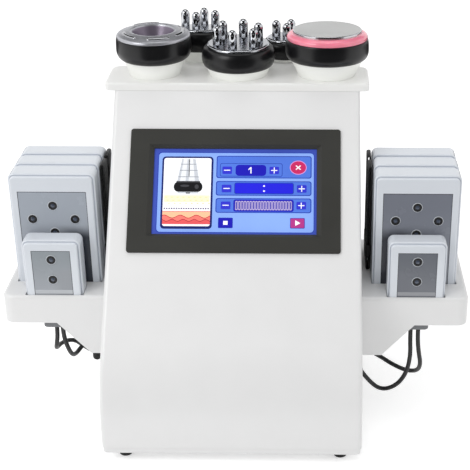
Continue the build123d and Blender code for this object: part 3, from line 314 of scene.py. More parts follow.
def woven(name, color):
    # Elastic webbing: ribs across the band and fine warp threads along it
    material = make_material(name, color, 0.78, mottle=0.2, mottle_scale=60.0, sheen=0.2)
    nodes, links, shader = tree_of(material)
    place = object_place(nodes)
    waves = []
    for direction, scale in (("Z", 420.0), ("Y", 520.0)):
        wave = nodes.new("ShaderNodeTexWave")
        wave.bands_direction = direction
        wave.inputs["Scale"].default_value = scale
        links.new(place, wave.inputs["Vector"])
        waves.append(wave.outputs["Fac"])
    height = add_math(nodes, links, "MULTIPLY", *waves)
    add_bump(nodes, links, height, shader, strength=0.6, distance=0.0005)
    return material


strap_black = woven("strap_black", (30, 30, 32))


# Helpers that make objects and meshes
def new_object(name, data):
    made = bpy.data.objects.new(name, data)
    bpy.context.scene.collection.objects.link(made)
    return made


def piece(name, data, material, body="machine", replaced=(), smooth=True):
    # Visible piece that rides on a body, and may stand in for nodes of the model
    made = new_object(name, data)
    if material is not None:
        data.materials.append(material)
    if smooth and hasattr(data, "polygons"):
        data.polygons.foreach_set("use_smooth", [True] * len(data.polygons))
    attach(made, body)
    if replaced:
        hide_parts(*replaced)
    return made


def mesh_from(name, verts, faces):
    data = bpy.data.meshes.new(name)
    data.from_pydata([tuple(v) for v in verts], [], faces)
    data.update()
    return data


def finished_mesh(name, made):
    # Mesh of a bmesh, which is then freed
    data = bpy.data.meshes.new(name)
    made.to_mesh(data)
    made.free()
    return data


def absorb(made, shape):
    # Adds a mesh to an open bmesh and drops the mesh
    made.from_mesh(shape)
    bpy.data.meshes.remove(shape)


# Pad leads: the same routes as the model's, in metres
lead_routes = {
    "right_lead_front": [
        (0.1950, -0.0680, 0.1065),
        (0.1950, -0.0680, 0.0900),
        (0.1964, -0.0674, 0.0660),
        (0.1926, -0.0666, 0.0430),
        (0.1820, -0.0662, 0.0260),
        (0.1655, -0.0664, 0.0200),
        (0.1510, -0.0666, 0.0310),
        (0.1408, -0.0670, 0.0465),
    ],
    "right_lead_rear": [
        (0.2030, -0.0720, 0.1065),
        (0.2030, -0.0720, 0.0920),
        (0.2048, -0.0724, 0.0750),
        (0.2080, -0.0700, 0.0580),
        (0.2060, -0.0610, 0.0430),
        (0.1945, -0.0500, 0.0360),
        (0.1790, -0.0435, 0.0400),
        (0.1645, -0.0406, 0.0490),
        (0.1520, -0.0396, 0.0560),
        (0.1408, -0.0394, 0.0610),
    ],
    "left_lead_front": [
        (-0.2010, -0.0700, 0.1065),
        (-0.2010, -0.0700, 0.0930),
        (-0.2038, -0.0686, 0.0780),
        (-0.2070, -0.0580, 0.0675),
        (-0.2040, -0.0420, 0.0660),
        (-0.1930, -0.0290, 0.0630),
        (-0.1810, -0.0240, 0.0490),
        (-0.1670, -0.0224, 0.0390),
        (-0.1520, -0.0212, 0.0425),
        (-0.1408, -0.0204, 0.0510),
    ],
    "left_lead_rear": [
        (-0.1940, -0.0720, 0.1065),
        (-0.1940, -0.0720, 0.0930),
        (-0.1910, -0.0710, 0.0770),
        (-0.1885, -0.0630, 0.0620),
        (-0.1870, -0.0490, 0.0550),
        (-0.1810, -0.0370, 0.0600),
        (-0.1680, -0.0330, 0.0670),
        (-0.1530, -0.0340, 0.0660),
        (-0.1408, -0.0350, 0.0610),
    ],
}


def make_lead(name, points):
    curve = bpy.data.curves.new(name + "_cable", "CURVE")
    curve.dimensions = "3D"
    spline = curve.splines.new("NURBS")
    spline.points.add(len(points) - 1)
    for control, place in zip(spline.points, points):
        control.co = (*place, 1.0)
    spline.order_u = 3
    spline.use_endpoint_u = True
    spline.resolution_u = 16
    curve.bevel_depth = 2.5 * MM
    curve.bevel_resolution = 6
    made = piece(name + "_cable", curve, lead_black, "machine", (name,))


for lead_name, lead_points in lead_routes.items():
    make_lead(lead_name, lead_points)


# Applicators: round forms turned about each one's own axis, sizes in millimetres
TRAY_TOP = 354.0
FRONT_ROW, REAR_ROW = 73.0, 134.0
ROUND_SIDES = 128
BAND_WALL = 6.0
BAND_LOWER_EDGE, BAND_UPPER_EDGE = 1.0, 1.2
BELLY_SHARE = 0.45
BELLY_STEPS = 16
PLATE_THICKNESS = 3.0
PLATE_RIM = ((0.0, 0.0), (0.0, 1.2), (0.5, 2.2), (2.2, 3.0))
PIN_SEAT = 2.9
PIN_SIDES, PIN_DOME_STEPS = 48, 12


def axis_frame(x, y, tilt):
    # Matrix whose Z runs up an applicator's axis from the tray's top
    lean = math.radians(tilt)
    up = Vector((0.0, -math.sin(lean), math.cos(lean)))
    side = Vector((1.0, 0.0, 0.0))
    back = up.cross(side)
    basis = Matrix((side, back, up)).transposed()
    return Matrix.Translation((x * MM, y * MM, TRAY_TOP * MM)) @ basis.to_4x4()


# Each grip band stands at its rise above the tray, and swells from collar to belly to face radius
Applicator = namedtuple("Applicator", "axis rise band_height collar belly face")
applicators = {
    "vacuum": Applicator(axis_frame(-95.0, FRONT_ROW, 0.0), 18.0, 24.5, 34.5, 42.2, 41.3),
    "six_pin": Applicator(axis_frame(0.0, FRONT_ROW, 0.0), 10.0, 22.5, 36.6, 41.3, 35.2),
    "cavitation": Applicator(axis_frame(100.0, FRONT_ROW, -2.0), 17.5, 22.5, 41.0, 47.0, 45.5),
    "four_pin": Applicator(axis_frame(-48.0, REAR_ROW, -7.0), 9.6, 22.5, 28.5, 33.6, 27.5),
    "three_pin": Applicator(axis_frame(51.0, REAR_ROW, 0.0), 2.5, 19.5, 22.0, 26.8, 21.1),
}
vacuum_axis = applicators["vacuum"].axis
cavitation_axis = applicators["cavitation"].axis


def round_profile(points, radius, steps=5):
    # Rounds the inner corners of an open outline by the given radius
    rounded = [Vector(points[0])]
    for before, corner, after in zip(points, points[1:], points[2:]):
        before, corner, after = Vector(before), Vector(corner), Vector(after)
        reach = min(radius, (corner - before).length * 0.45, (after - corner).length * 0.45)
        start = corner + (before - corner).normalized() * reach
        end = corner + (after - corner).normalized() * reach
        for step in range(steps + 1):
            t = step / steps
            rounded.append(start * (1 - t) ** 2 + corner * 2 * t * (1 - t) + end * t**2)
    rounded.append(Vector(points[-1]))
    return rounded


def turned_mesh(name, profile, matrix, segments=96, closed=False):
    # Surface of revolution about the matrix's Z; profile is (radius, height) in millimetres
    verts, faces = [], []
    count = len(profile)
    for step in range(segments):
        angle = 2 * math.pi * step / segments
        for radius, height in profile:
            place = Vector((radius * math.cos(angle), radius * math.sin(angle), height)) * MM
            verts.append(matrix @ place)
    rows = count if closed else count - 1
    for step in range(segments):
        here, there = step * count, ((step + 1) % segments) * count
        for row in range(rows):
            low, high = row, (row + 1) % count
            faces.append((here + low, there + low, there + high, here + high))
    made = mesh_from(name, verts, faces)
    clean = bmesh.new()
    clean.from_mesh(made)
    bmesh.ops.remove_doubles(clean, verts=clean.verts, dist=0.00001)
    bmesh.ops.recalc_face_normals(clean, faces=clean.faces)
    clean.to_mesh(made)
    clean.free()
    return made


def make_band(prefix):
    # Soft grip band with a round belly, closed by its hidden inner wall
    own = applicators[prefix]
    top, belly_z = own.rise + own.band_height, own.rise + BELLY_SHARE * own.band_height
    inner = own.collar - BAND_WALL
    profile = [(inner, own.rise), (own.collar - BAND_LOWER_EDGE, own.rise)]
    for step in range(BELLY_STEPS + 1):
        angle = -math.pi / 2 + math.pi / 2 * step / BELLY_STEPS
        radius = own.collar + (own.belly - own.collar) * math.cos(angle)
        profile.append((radius, belly_z + (belly_z - own.rise) * math.sin(angle)))
    for step in range(1, BELLY_STEPS + 1):
        angle = math.pi / 2 * step / BELLY_STEPS
        radius = own.face + (own.belly - own.face) * math.cos(angle)
        profile.append((radius, belly_z + (top - belly_z) * math.sin(angle)))
    profile += [(own.face - BAND_UPPER_EDGE, top), (inner, top)]
    name = prefix + "_soft_band"
    data = turned_mesh(name, profile, own.axis, ROUND_SIDES, closed=True)
    body, node = prefix + "_applicator", prefix + "_grip_band"
    piece(name, data, grip_black, body, (node,))


for prefix in applicators:
    make_band(prefix)


def make_pin_head(prefix, ring_radius, count, turn, pin_radius, pin_length):
    # Polished plate with a softened rim, and bullet-shaped electrodes that stand on it
    own = applicators[prefix]
    base = own.rise + own.band_height
    deck = base + PLATE_THICKNESS
    name, body = prefix + "_face", prefix + "_applicator"
    rim = [(own.face - inset, base + height) for inset, height in PLATE_RIM]
    plate = round_profile([(0.0, base), *rim, (0.0, deck)], 0.7)
    data = turned_mesh(name, plate, own.axis, ROUND_SIDES)
    piece(name, data, plate_silver, body, (prefix + "_head",))
    bottom, top = base + PIN_SEAT, deck + pin_length
    profile = [(0.0, bottom), (pin_radius, bottom)]
    for step in range(PIN_DOME_STEPS + 1):
        lift = math.pi / 2 * step / PIN_DOME_STEPS
        height = top - pin_radius + pin_radius * math.sin(lift)
        profile.append((pin_radius * math.cos(lift), height))
    pins = bmesh.new()
    for pin in range(count):
        angle = math.radians(turn) + 2 * math.pi * pin / count
        centre = Vector((ring_radius * math.cos(angle), ring_radius * math.sin(angle), 0.0)) * MM
        place = own.axis @ Matrix.Translation(centre)
        absorb(pins, turned_mesh("pin", profile, place, PIN_SIDES))
    data = finished_mesh(prefix + "_pins", pins)
    piece(prefix + "_pins", data, chrome, body, ())


make_pin_head("six_pin", ring_radius=24.0, count=6, turn=18.5, pin_radius=5.1, pin_length=20.5)
make_pin_head("four_pin", ring_radius=18.0, count=4, turn=-10.0, pin_radius=4.9, pin_length=20.0)
make_pin_head("three_pin", ring_radius=10.3, count=3, turn=45.0, pin_radius=5.0, pin_length=18.5)


# Vacuum head: crowned silver ring, mauve cup and four polished arcs
CROWN_TOP = 50.0
CROWN_SLOPE = 5.1 / 17.1
CUP_RADIUS = 24.2
ARC_SPANS = ((-38.0, 44.0), (82.0, 140.0), (188.0, 244.0), (263.0, 312.0))
ARC_CENTRE = 33.2
ARC_HALF_WIDTH = 2.1
ARC_HEIGHT = 1.9
ARC_LIFT = 0.2
ring_outline = [
    (25.9, 42.6),
    (41.25, 42.6),
    (41.25, 44.4),
    (40.0, 46.2),
    (33.0, 48.6),
    (27.0, 49.9),
    (24.2, 49.6),
    (23.4, 47.6),
]
data = turned_mesh("vacuum_crown", round_profile(ring_outline, 1.2), vacuum_axis, ROUND_SIDES)
piece("vacuum_crown", data, ring_silver, "vacuum_applicator", ("vacuum_ring",))
cup_outline = [
    (23.7, 47.9),
    (22.9, 46.6),
    (19.2, 36.6),
    (17.4, 36.1),
    (3.2, 36.1),
    (2.9, 35.0),
    (2.9, 32.0),
    (0.0, 32.0),
]
data = turned_mesh("vacuum_cup", round_profile(cup_outline, 1.0), vacuum_axis, 96)
piece("vacuum_cup", data, cup_mauve, "vacuum_applicator", ())


def arc_electrodes(matrix):
    # Rounded bars that lie along the crown's slope and taper at their ends
    made = bmesh.new()
    steps, sides = 28, 8
    base = CROWN_TOP - CROWN_SLOPE * (ARC_CENTRE - CUP_RADIUS) + ARC_LIFT
    for start, end in ARC_SPANS:
        loops = []
        for step in range(steps + 1):
            angle = math.radians(start + (end - start) * step / steps)
            taper = min(1.0, math.sin(math.pi * step / steps) * 4.0)
            width = ARC_HALF_WIDTH * (0.35 + 0.65 * taper)
            height = ARC_HEIGHT * (0.25 + 0.75 * taper)
            loop = []
            for corner in range(sides + 1):
                swing = math.pi * corner / sides
                radius = ARC_CENTRE + width * math.cos(swing)
                lift = base - 0.3 * width * math.cos(swing) + height * math.sin(swing) ** 0.7
                point = Vector((radius * math.cos(angle), radius * math.sin(angle), lift)) * MM
                loop.append(made.verts.new(matrix @ point))
            loops.append(loop)
        for here, there in zip(loops, loops[1:]):
            for corner in range(sides):
                after = corner + 1
                made.faces.new((here[corner], here[after], there[after], there[corner]))
            made.faces.new((here[sides], here[0], there[0], there[sides]))
        made.faces.new(loops[0])
        made.faces.new(tuple(reversed(loops[-1])))
    bmesh.ops.recalc_face_normals(made, faces=made.faces)
    return finished_mesh("vacuum_arcs", made)


piece(
    "vacuum_arcs",
    arc_electrodes(vacuum_axis),
    arc_chrome,
    "vacuum_applicator",
    ("vacuum_electrodes",),
)

# Cavitation head: lit ring, satin disc and its polished edge
DISC_TOP = 50.6
ring_outline = [
    (22.4, 40.1),
    (45.3, 40.1),
    (45.4, 43.4),
    (44.2, 45.2),
    (41.6, 46.9),
    (40.2, 47.4),
    (22.4, 47.4),
]
ring_line = round_profile(ring_outline, 1.2)
data = turned_mesh("cavitation_lit_ring", ring_line, cavitation_axis, ROUND_SIDES)
piece(
    "cavitation_lit_ring",
    data,
    light_pink,
    "cavitation_applicator",
    ("cavitation_light_ring",),
)
rim_outline = [
    (36.8, 50.62),
    (37.9, 50.6),
    (38.55, 49.9),
    (38.6, 48.6),
    (38.2, 47.6),
    (36.0, 47.55),
]
rim_line = round_profile(rim_outline, 0.5)
data = turned_mesh("cavitation_rim", rim_line, cavitation_axis, ROUND_SIDES)
piece("cavitation_rim", data, chrome, "cavitation_applicator", ())


# Screen picture: flat shapes laid on the display, each a hair above the one under it
FACE_LEAN = 40.1
FACE_BROW = (0.0, 34.0, 345.0)
face_lean = math.radians(FACE_LEAN)
face_origin = Vector(FACE_BROW) * MM
face_up = Vector((0.0, math.sin(face_lean), math.cos(face_lean)))
face_out = Vector((0.0, -math.cos(face_lean), math.sin(face_lean)))
DISPLAY_DEPTH = 3.0
LAYER = 0.07
PICTURE_LIFT = 0.05
SCREEN_GLOW = 0.3

screen_colors = {
    "frame_blue": (59, 79, 176),
    "panel_blue": (134, 168, 238),
    "row_blue": (78, 116, 214),
    "row_edge": (34, 62, 168),
    "key_blue": (48, 50, 200),
    "deep_blue": (32, 30, 214),
    "pill_blue": (26, 22, 176),
    "navy": (22, 34, 104),
    "white": (246, 248, 252),
    "pale_yellow": (248, 240, 200),
    "skin_orange": (252, 190, 150),
    "skin_coral": (244, 122, 112),
    "skin_red": (226, 88, 92),
    "skin_line": (170, 52, 62),
    "exit_red": (198, 40, 98),
    "start_pink": (176, 54, 132),
    "exit_rim": (216, 150, 214),
    "bar_pink": (190, 176, 214),
    "bar_blue": (74, 70, 168),
    "ink": (26, 26, 28),
    "ink_soft": (66, 66, 70),
    "cone_light": (232, 234, 238),
    "cone_grey": (196, 200, 207),
    "cone_shade": (140, 144, 152),
    "dot_brown": (84, 62, 110),
    "sand": (226, 214, 168),
}


def screen_material(name, color):
    # Lit picture colour that drifts a little over the screen
    material = new_material("screen_" + name)
    nodes, links, shader = tree_of(material)
    source = add_noise(nodes, links, object_place(nodes), 14.0)
    shades = add_shades(nodes, links, source, color, (0.35, 0.65), 0.94, 1.05)
    links.new(shades, shader.inputs["Base Color"])
    links.new(shades, shader.inputs["Emission Color"])
    set_inputs(
        shader, {"Emission Strength": SCREEN_GLOW, "Roughness": 0.35, "Specular IOR Level": 0.25}
    )
    return material


class ScreenSheet:
    # Collects flat shapes given in millimetres: x across, v down the slope from the brow
    def __init__(self):
        self.verts, self.faces, self.paints = [], [], []
        self.materials = []

    def paint(self, name):
        if name not in self.materials:
            self.materials.append(name)
        return self.materials.index(name)

    def shape(self, points, level, color):
        start = len(self.verts)
        rise = level * LAYER - DISPLAY_DEPTH + PICTURE_LIFT
        for x, v in points:
            place = face_origin + Vector((x, 0, 0)) * MM - face_up * v * MM
            self.verts.append(place + face_out * rise * MM)
        self.faces.append(tuple(range(start, start + len(points))))
        self.paints.append(self.paint(color))

    def box(self, x0, x1, v0, v1, level, color, radius=0.0):
        points = []
        if radius <= 0:
            points = [(x0, v1), (x1, v1), (x1, v0), (x0, v0)]
        else:
            corners = [
                (x1 - radius, v1 - radius, 0.0),
                (x1 - radius, v0 + radius, 0.5),
                (x0 + radius, v0 + radius, 1.0),
                (x0 + radius, v1 - radius, 1.5),
            ]
            for cx, cv, turn in corners:
                for step in range(7):
                    angle = math.pi * (turn - 0.5) + math.pi / 2 * step / 6
                    points.append((cx + radius * math.cos(angle), cv - radius * math.sin(angle)))
        self.shape(points, level, color)

    def disc(self, x, v, rx, rv, level, color, sides=40):
        points = [
            (
                x + rx * math.cos(2 * math.pi * step / sides),
                v - rv * math.sin(2 * math.pi * step / sides),
            )
            for step in range(sides)
        ]
        self.shape(points, level, color)

    def minus(self, x, v, level):
        self.box(x - 3.4, x + 3.4, v - 0.5, v + 0.5, level, "white")

    def plus(self, x, v, level):
        self.minus(x, v, level)
        self.box(x - 0.5, x + 0.5, v - 3.4, v + 3.4, level, "white")

    def build(self):
        data = mesh_from("screen_picture", self.verts, self.faces)
        for name in self.materials:
            data.materials.append(screen_material(name, screen_colors[name]))
        for face, paint in zip(data.polygons, self.paints):
            face.material_index = paint
        return piece("screen_picture", data, None, smooth=False)


def draw_card(sheet):
    # Help picture: a hand piece over layers of skin
    sheet.box(-80.0, -24.0, 75.4, 157.4, 2, "navy", 4.0)
    sheet.box(-78.0, -26.2, 77.2, 154.4, 3, "white", 2.6)
    sheet.shape([(-63.2, 104.4), (-38.8, 104.4), (-43.6, 78.4), (-58.4, 78.4)], 4, "cone_light")
    sheet.shape([(-63.2, 104.4), (-60.2, 104.4), (-56.6, 78.4), (-58.4, 78.4)], 5, "cone_grey")
    sheet.shape([(-43.6, 104.4), (-38.8, 104.4), (-43.6, 78.4), (-46.4, 78.4)], 5, "cone_grey")
    sheet.shape([(-54.0, 104.4), (-50.6, 104.4), (-50.2, 78.4), (-52.4, 78.4)], 5, "cone_grey")
    sheet.box(-50.7, -49.9, 78.4, 98.0, 6, "ink_soft")
    for v, half in ((84.0, 8.4), (91.0, 9.8), (98.4, 11.2)):
        sheet.box(-51.0 - half, -51.0 + half, v, v + 0.6, 6, "cone_shade")
    sheet.box(-66.6, -35.4, 104.4, 115.8, 6, "ink", 5.2)
    sheet.box(-64.0, -38.0, 103.6, 105.2, 7, "ink_soft", 0.7)
    sheet.disc(-54.6, 109.0, 5.0, 1.3, 7, "ink_soft")
    sheet.disc(-41.6, 110.0, 2.2, 2.6, 7, "ink_soft")
    sheet.box(-62.4, -39.6, 116.0, 117.6, 6, "cone_grey", 0.7)
    sheet.box(-53.4, -48.6, 116.4, 117.8, 7, "ink_soft", 0.6)
    sheet.box(-77.0, -27.2, 119.6, 127.6, 4, "pale_yellow", 1.0)
    for row, v in enumerate((121.4, 124.8, 128.4)):
        for step in range(8):
            x = -75.6 + 6.2 * step + 1.6 * row
            sheet.box(x, x + 2.4, v, v + 1.0, 5, "sand")
    for step in range(19):
        sheet.disc(-76.0 + 2.64 * step, 134.6, 0.85, 0.8, 5, "dot_brown", 10)
    sheet.box(-78.0, -26.2, 138.2, 152.2, 4, "skin_orange")
    wave, low = [], []
    for step in range(25):
        x = -78.0 + 51.8 * step / 24
        wave.append((x, 143.4 + 1.7 * math.sin(x * 0.36 + 0.6)))
        low.append((x, 147.6 + 1.2 * math.sin(x * 0.52 + 2.0)))
    base = [(-26.2, 152.2), (-78.0, 152.2)]
    sheet.shape((wave + base)[::-1], 5, "skin_coral")
    sheet.shape((low + base)[::-1], 6, "skin_red")
    for curve, level in ((wave, 7), (low, 8)):
        lower = [(x, v + 0.7) for x, v in curve]
        sheet.shape((curve + lower[::-1])[::-1], level, "skin_line")
    sheet.box(-78.0, -26.2, 137.6, 138.2, 6, "skin_red")


def draw_controls(sheet):
    # Rows with keys beside a number, a clock and a level bar, then one round and two square keys
    for v0, v1 in ((74.4, 100.0), (103.2, 119.8), (122.6, 139.2)):
        sheet.box(-20.6, 83.4, v0, v1, 2, "row_edge", 2.6)
        sheet.box(-19.6, 82.4, v0 + 0.9, v1 - 0.9, 3, "row_blue", 2.0)
    sheet.box(-16.6, 51.6, 82.9, 98.0, 4, "row_edge", 2.0)
    sheet.box(-16.0, 51.0, 83.5, 97.4, 5, "row_blue", 1.6)
    for left, right, v in ((-8.8, 42.6, 91.0), (-9.0, 72.8, 111.8), (-9.6, 72.4, 130.8)):
        for x, draw_sign in ((left, sheet.minus), (right, sheet.plus)):
            sheet.box(x - 5.2, x + 5.2, v - 4.2, v + 4.2, 6, "key_blue", 1.0)
            draw_sign(x, v, 7)
    sheet.box(0.4, 33.8, 84.8, 97.2, 6, "pill_blue", 3.6)
    sheet.box(16.6, 17.8, 87.4, 94.6, 7, "white")
    sheet.shape([(16.6, 87.4), (14.4, 89.6), (14.4, 90.9), (16.6, 89.2)][::-1], 7, "white")
    sheet.box(-0.6, 64.2, 105.0, 118.0, 4, "row_edge", 2.2)
    sheet.box(0.2, 63.4, 105.8, 117.2, 5, "deep_blue", 1.6)
    for v in (108.8, 114.6):
        sheet.disc(31.8, v, 1.05, 0.95, 6, "white", 16)
    sheet.box(-1.2, 64.2, 124.2, 137.8, 4, "pill_blue", 2.4)
    sheet.box(0.4, 62.8, 125.6, 136.4, 5, "bar_blue", 1.4)
    for step in range(20):
        x = 0.9 + 3.08 * step
        sheet.box(x, x + 2.6, 125.9, 136.1, 6, "bar_pink", 1.1)
        sheet.box(x + 0.6, x + 2.0, 126.9, 135.1, 7, "bar_blue", 0.6)
    sheet.disc(68.8, 87.6, 9.2, 8.0, 4, "exit_rim")
    sheet.disc(68.8, 87.6, 8.4, 7.2, 5, "exit_red")
    for turn in (45, 135):
        angle = math.radians(turn)
        along = (math.cos(angle) * 3.6, math.sin(angle) * 3.2)
        across = (-math.sin(angle) * 0.6, math.cos(angle) * 0.6)
        points = [
            (68.8 + a * along[0] + b * across[0], 87.6 + a * along[1] + b * across[1])
            for a, b in ((-1, 1), (1, 1), (1, -1), (-1, -1))
        ]
        sheet.shape(points, 6, "white")
    sheet.box(-17.4, -1.4, 144.6, 156.4, 2, "row_edge", 1.2)
    sheet.box(-16.8, -2.0, 145.2, 155.8, 3, "pill_blue", 1.0)
    sheet.box(-11.8, -7.0, 148.3, 152.7, 4, "white")
    sheet.box(60.4, 76.4, 144.6, 156.4, 2, "row_edge", 1.2)
    sheet.box(61.0, 75.8, 145.2, 155.8, 3, "start_pink", 1.0)
    sheet.shape([(66.0, 147.2), (66.0, 153.6), (71.6, 150.4)], 5, "white")


def draw_screen():
    sheet = ScreenSheet()
    sheet.box(-88.9, 88.9, 66.6, 163.4, 0, "frame_blue")
    sheet.box(-84.6, 86.6, 70.4, 161.6, 1, "row_edge", 4.2)
    sheet.box(-83.8, 85.8, 71.2, 160.8, 1.6, "panel_blue", 3.6)
    draw_card(sheet)
    draw_controls(sheet)
    return sheet.build()


draw_screen()


# Light pads: lens rings, joint and shadow lines, and the painted light at the foot of the small
# windows
PAD_X = 198.5
PAD_CORNER = 7.0
PAD_FOOT = 148.0
WINDOW_FOOT = 145.5
SMALL_PAD_FRONT = -77.5
LARGE_PAD_FRONT = -46.0
LARGE_PAD_PITCH = 30.5
LENS_DEPTH = 0.3
LENS_RADIUS = 2.45
LENS_FOOT = 0.1
LENS_HEIGHT = 0.7
JOINT_WIDTH, TOP_JOINT_WIDTH = 0.55, 0.7
JOINT_FRONT, JOINT_BACK = 0.18, 0.5
SHADOW_LINE_OUTER, SHADOW_LINE_INNER = 1.55, 2.45
SHADOW_LINE_FRONT, SHADOW_LINE_BACK = 3.95, 4.4
STRIP_HALF = 20.6
STRIP_LOW, STRIP_HIGH = 149.0, 153.4
STRIP_FRONT, STRIP_THICKNESS = 0.24, 0.2

# Half width and top of the pad and of its window, and each lens's place from the pad's top middle
PadKind = namedtuple("PadKind", "half top window_half window_top lenses")
pad_kinds = {
    "large": PadKind(
        47.25, 276.5, 37.5, 257.0, ((0.0, -36.0), (0.0, -68.0), (-23.3, -52.0), (23.3, -52.0))
    ),
    "small": PadKind(31.75, 212.0, 21.25, 201.0, ((0.0, -21.8), (0.0, -45.8))),
}
pad_list = []
for side, word in ((-1, "left"), (1, "right")):
    pad_list.append((side, word + "_small_pad", "small", SMALL_PAD_FRONT))
    for row in range(3):
        front = LARGE_PAD_FRONT + LARGE_PAD_PITCH * row
        pad_list.append((side, f"{word}_large_pad_{row + 1}", "large", front))


def facing_frame(x, y, z):
    # Matrix whose Z points at the viewer, for round forms on the pads' front faces
    basis = Matrix(((1.0, 0.0, 0.0), (0.0, 0.0, -1.0), (0.0, 1.0, 0.0)))
    return Matrix.Translation(Vector((x, y, z)) * MM) @ basis.to_4x4()


def pad_lenses(side, name, kind, front):
    # Dark ring, domed lens and pale halo at each lens seat
    ring_line = [(4.95, 0.0), (4.95, 0.5), (4.4, 0.95), (2.9, 0.95), (2.4, 0.6), (2.2, 0.1)]
    halo_line = [(5.0, 0.0), (5.6, 0.0), (5.6, 0.16), (4.9, 0.22)]
    dome_line = [(LENS_RADIUS, LENS_FOOT)]
    for step in range(1, 9):
        lift = math.pi / 2 * step / 8
        dome_line.append((LENS_RADIUS * math.cos(lift), LENS_FOOT + LENS_HEIGHT * math.sin(lift)))
    rings, domes, halos = bmesh.new(), bmesh.new(), bmesh.new()
    for across, up in pad_kinds[kind].lenses:
        x, z = side * PAD_X + across, pad_kinds[kind].top + up
        place = facing_frame(x, front + LENS_DEPTH, z)
        absorb(rings, turned_mesh("ring", round_profile(ring_line, 0.25), place, 40))
        absorb(halos, turned_mesh("halo", halo_line, place, 40))
        absorb(domes, turned_mesh("dome", dome_line, place, 32))
    for made, label, material in (
        (rings, "_lens_rings", black_plastic),
        (domes, "_lenses", lens_grey),
        (halos, "_lens_halos", lens_halo),
    ):
        data = finished_mesh(name + label, made)
        piece(name + label, data, material, name, ())


for pad in pad_list:
    pad_lenses(*pad)


BOX_FACES = ((0, 1, 3, 2), (4, 6, 7, 5), (0, 4, 5, 1), (2, 3, 7, 6), (0, 2, 6, 4), (1, 5, 7, 3))


def thin_box(verts, faces, low, high):
    # Adds a plain box to lists of corners and faces, its limits in millimetres
    start = len(verts)
    for x in (low[0], high[0]):
        for y in (low[1], high[1]):
            for z in (low[2], high[2]):
                verts.append(Vector((x, y, z)) * MM)
    for loop in BOX_FACES:
        faces.append(tuple(start + corner for corner in loop))


def window_trim(side, name, kind, front):
    # Dark joint line round the window, drawn just inside its edge
    half, top, low = pad_kinds[kind].window_half, pad_kinds[kind].window_top, WINDOW_FOOT
    x, near, far = side * PAD_X, front + JOINT_FRONT, front + JOINT_BACK
    verts, faces = [], []
    for box in (
        ((x - half, near, top - TOP_JOINT_WIDTH), (x + half, far, top)),
        ((x - half, near, low), (x - half + JOINT_WIDTH, far, top)),
        ((x + half - JOINT_WIDTH, near, low), (x + half, far, top)),
    ):
        thin_box(verts, faces, *box)
    data = mesh_from(name + "_window_joint", verts, faces)
    piece(name + "_window_joint", data, window_edge, name, (), smooth=False)


for pad in pad_list:
    window_trim(*pad)


def pad_outline(side, kind, inset):
    # Front outline of a pad, from its left foot over its round top corners to its right foot
    half, top = pad_kinds[kind].half, pad_kinds[kind].top
    radius = PAD_CORNER - inset
    centre_x, centre_z = half - PAD_CORNER, top - PAD_CORNER
    points = [(-half + inset, PAD_FOOT)]
    for middle, first in ((-centre_x, 180.0), (centre_x, 90.0)):
        for step in range(9):
            angle = math.radians(first - 90.0 * step / 8)
            points.append((middle + radius * math.cos(angle), centre_z + radius * math.sin(angle)))
    points.append((half - inset, PAD_FOOT))
    return [(side * PAD_X + x, z) for x, z in points]


def pad_frame_shadow(side, name, kind, front):
    # Shadow line on the narrow ledge where the raised front frame meets the housing
    outer, inner = (pad_outline(side, kind, inset) for inset in (SHADOW_LINE_OUTER, SHADOW_LINE_INNER))
    near, far = front + SHADOW_LINE_FRONT, front + SHADOW_LINE_BACK
    verts, faces = [], []
    for (x_out, z_out), (x_in, z_in) in zip(outer, inner):
        corners = ((x_out, near, z_out), (x_in, near, z_in), (x_in, far, z_in), (x_out, far, z_out))
        verts.extend(Vector(corner) * MM for corner in corners)
    count = len(outer)
    for step in range(count - 1):
        here, there = 4 * step, 4 * step + 4
        for corner in range(4):
            after = (corner + 1) % 4
            faces.append((here + corner, here + after, there + after, there + corner))
    faces.append((0, 1, 2, 3))
    faces.append(tuple(4 * count - 4 + corner for corner in (3, 2, 1, 0)))
    data = mesh_from(name + "_frame_shadow", verts, faces)
    piece(name + "_frame_shadow", data, frame_shadow_grey, name, (), smooth=False)


for pad in pad_list:
    pad_frame_shadow(*pad)


def window_strip(side, name, material):
    # Painted light: a lighter band at the foot of the small window
    x, near = side * PAD_X, SMALL_PAD_FRONT + STRIP_FRONT
    verts, faces = [], []
    low = (x - STRIP_HALF, near, STRIP_LOW)
    high = (x + STRIP_HALF, near + STRIP_THICKNESS, STRIP_HIGH)
    thin_box(verts, faces, low, high)
    data = mesh_from(name + "_window_foot", verts, faces)
    piece(name + "_window_foot", data, material, name, (), smooth=False)


window_strip(-1, "left_small_pad", lit_foot_strip_left)
window_strip(1, "right_small_pad", shaded_foot_strip_right)


# Elastic straps: two closed loops on each side, with a buckle near the foot of each
STRAP_X = 148.05
STRAP_ROWS = (-1.5, 29.0)
STRAP_SLACKS = (1.0, 0.7)
STRAP_FOLD_RADIUS = 1.8
STRAP_LOW, STRAP_HIGH = 149.9, 272.1
STRAP_PUFF = 1.9
BUCKLE_HEIGHTS = (172.0, 167.0)
BUCKLE_EDGE = 0.6

# Section of the webbing, and a buckle's foot, head, two cheeks and middle bar about its centre
STRAP_SECTION = (
    (-10.4, 0.35),
    (-10.9, 0.0),
    (-10.4, -0.35),
    (10.4, -0.35),
    (10.9, 0.0),
    (10.4, 0.35),
)
BUCKLE_BLOCKS = (
    ((-2.7, -12.6, -7.0), (2.7, 12.6, -4.6)),
    ((-2.7, -12.6, 4.6), (2.7, 12.6, 7.0)),
    ((-2.7, -12.8, -7.0), (2.7, -11.2, 7.0)),
    ((-2.7, 11.2, -7.0), (2.7, 12.8, 7.0)),
    ((-2.8, -12.0, -1.2), (2.8, 12.0, 1.2)),
)


